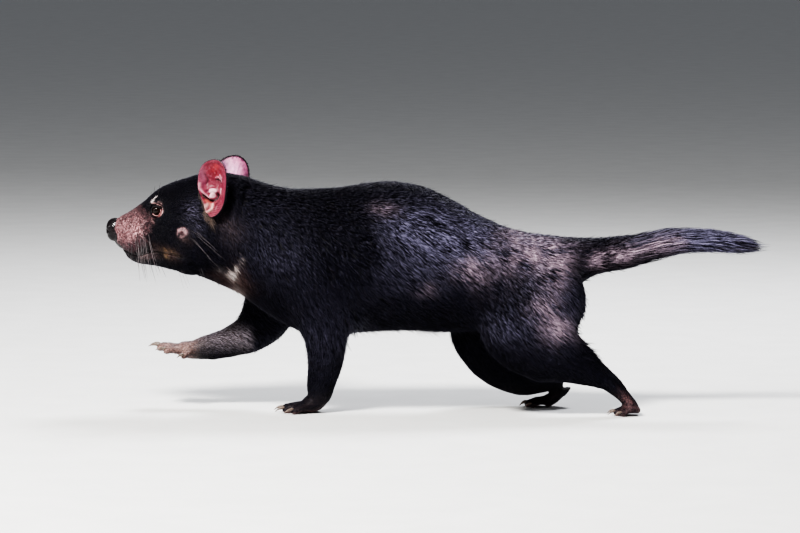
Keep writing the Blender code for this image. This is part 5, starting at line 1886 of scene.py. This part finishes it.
def whiskers(skin, unwrap):
    """Long single bristles that droop a little."""
    draw = np.random.default_rng(TUFT_SEED + 2)
    tree = tree_of(skin)
    shares = np.linspace(0, 1, 12)
    paths, outs, widths, colours = [], [], [], []
    for side in (-1, 1):
        for place, way, length, pale in WHISKERS:
            root = on_side(place, side) + (draw.normal(0, 0.6, 3) if side > 0 else 0)
            hit, normal, _, _ = tree.find_nearest(to_turned(root[None])[0].tolist())
            way = turn_directions(unit(on_side(way, side))[None], np.array([place[0]]))[0]
            way = unit(way + draw.normal(0, 0.04, 3))
            length = length * draw.uniform(0.93, 1.07)
            droop = np.array([0.10, 0, -0.16]) * length
            start = np.array(hit) - np.array(normal) * 1.0
            path = start + way * length * shares[:, None] + droop * shares[:, None] ** 2.2
            over = np.maximum(np.abs(path[:, 1]) - WHISKER_REACH, 0)
            path[:, 1] -= np.sign(path[:, 1]) * over * 0.85
            path[:, 0] += over * 0.5
            paths.append(path)
            outs.append(np.tile(np.array(normal), (len(shares) - 1, 1)))
            thick = MUZZLE_WHISKER if place[0] < -335 else FINE_WHISKER
            widths.append(thick * (1 - shares[:-1]) ** 0.7 + 0.07)
            colours.append(WHISKER_DARK * (1 - pale) + WHISKER_SHEEN * pale)
    paths, colours = np.stack(paths), np.stack(colours)
    mesh = strand_mesh("whiskers", paths, np.stack(widths), np.stack(outs), colours,
                       colours * 1.2 + 0.01, map_places(unwrap, paths[:, 0]))
    finish_piece(add_object("whiskers", mesh), whisker_finish())


# The studio

CAMERA_AIM = (-38.25, 0, 184.94)
CAMERA_TILT = math.radians(5)
CAMERA_AWAY = 5.667


def area_light(name, place, aim, size, power, colour=(1, 1, 1)):
    lamp = bpy.data.lights.new(name, "AREA")
    lamp.shape = "DISK"
    lamp.size = size
    lamp.energy = power
    lamp.color = colour
    thing = add_object(name, lamp)
    thing.location = place
    thing.rotation_euler = (Vector(aim) - Vector(place)).to_track_quat("-Z", "Y").to_euler()


def studio():
    """A pale floor, soft lights and the camera."""
    bm = bmesh.new()
    bmesh.ops.create_grid(bm, x_segments=1, y_segments=1, size=45.0)
    mesh = bpy.data.meshes.new("floor")
    bm.to_mesh(mesh)
    bm.free()
    floor = add_object("floor", mesh)
    mesh.materials.append(floor_finish())
    area_light("key", (-1.1, -1.9, 2.6), (0, 0, 0.2), 0.8, 215, (1.0, 0.98, 0.95))
    area_light("rim", (0.5, 1.5, 2.2), (0, 0, 0.25), 0.9, 70, (0.95, 0.96, 1.0))
    area_light("front", (-2.4, -0.9, 0.9), (-0.2, 0, 0.2), 1.0, 16)
    scene = bpy.context.scene
    scene.world = scene.world or bpy.data.worlds.new("studio")
    scene.world.use_nodes = True
    sky = scene.world.node_tree.nodes["Background"]
    sky.inputs["Color"].default_value = (0.86, 0.89, 0.95, 1)
    sky.inputs["Strength"].default_value = 0.20
    scene.view_settings.look = "AgX - High Contrast"
    lens = bpy.data.cameras.new("camera")
    lens.lens, lens.sensor_width = 200, 36
    lens.clip_end = 90
    camera = add_object("camera", lens)
    aim = (np.array(CAMERA_AIM) + SHIFT) * MM
    level, up = math.cos(CAMERA_TILT), math.sin(CAMERA_TILT)
    camera.matrix_world = Matrix((
        (1, 0, 0, aim[0]),
        (0, up, -level, aim[1] - level * CAMERA_AWAY),
        (0, level, up, aim[2] + up * CAMERA_AWAY),
        (0, 0, 0, 1),
    ))
    scene.camera = camera


# The model

def skin_surface():
    """The skin: all flesh in one even surface, thinned, smoothed, set to its depth and sculpted."""
    flesh = flesh_mesh()
    surface = tree_of(flesh)
    points, edges = drawing_points(flesh), edges_of(flesh)
    set_points(flesh, relax(points, edges, 0.5, 6))
    skin = thinned(flesh)
    points, edges = drawing_points(skin), edges_of(skin)
    fine = fineness(points)
    set_points(skin, relax(points, edges, 0.55 * (1 - 0.9 * fine), 45))
    points = drawing_points(skin)
    set_points(skin, relax(points, edges, 0.5, 4))
    set_inside(skin, surface, 0.3)
    skin = sculpted(refined(skin))
    smooth_faces(skin)
    return skin


SIDES = ((-1, "left"), (1, "right"))
skin = skin_surface()
colour, pale = skin_colours(drawing_points(skin))
set_tint(skin, colour)
set_tint(skin, pale, "tint_pale")
bare_skin, bare_ear, wet_eye = skin_finish(), ear_finish(), eye_finish()
finish_piece(add_object("skin", skin), bare_skin, list(FLESH))
unwrap = proxy_map(skin)
body_coat(skin, unwrap)
tail_hair(unwrap)
for side, word in SIDES:
    ear(side, word, bare_ear)
ear_hair(unwrap)
for side, word in SIDES:
    eyeball(side, word, wet_eye)
lid_margins(bare_skin)
nose_pad()
claws(claw_finish())
whiskers(skin, unwrap)
studio()
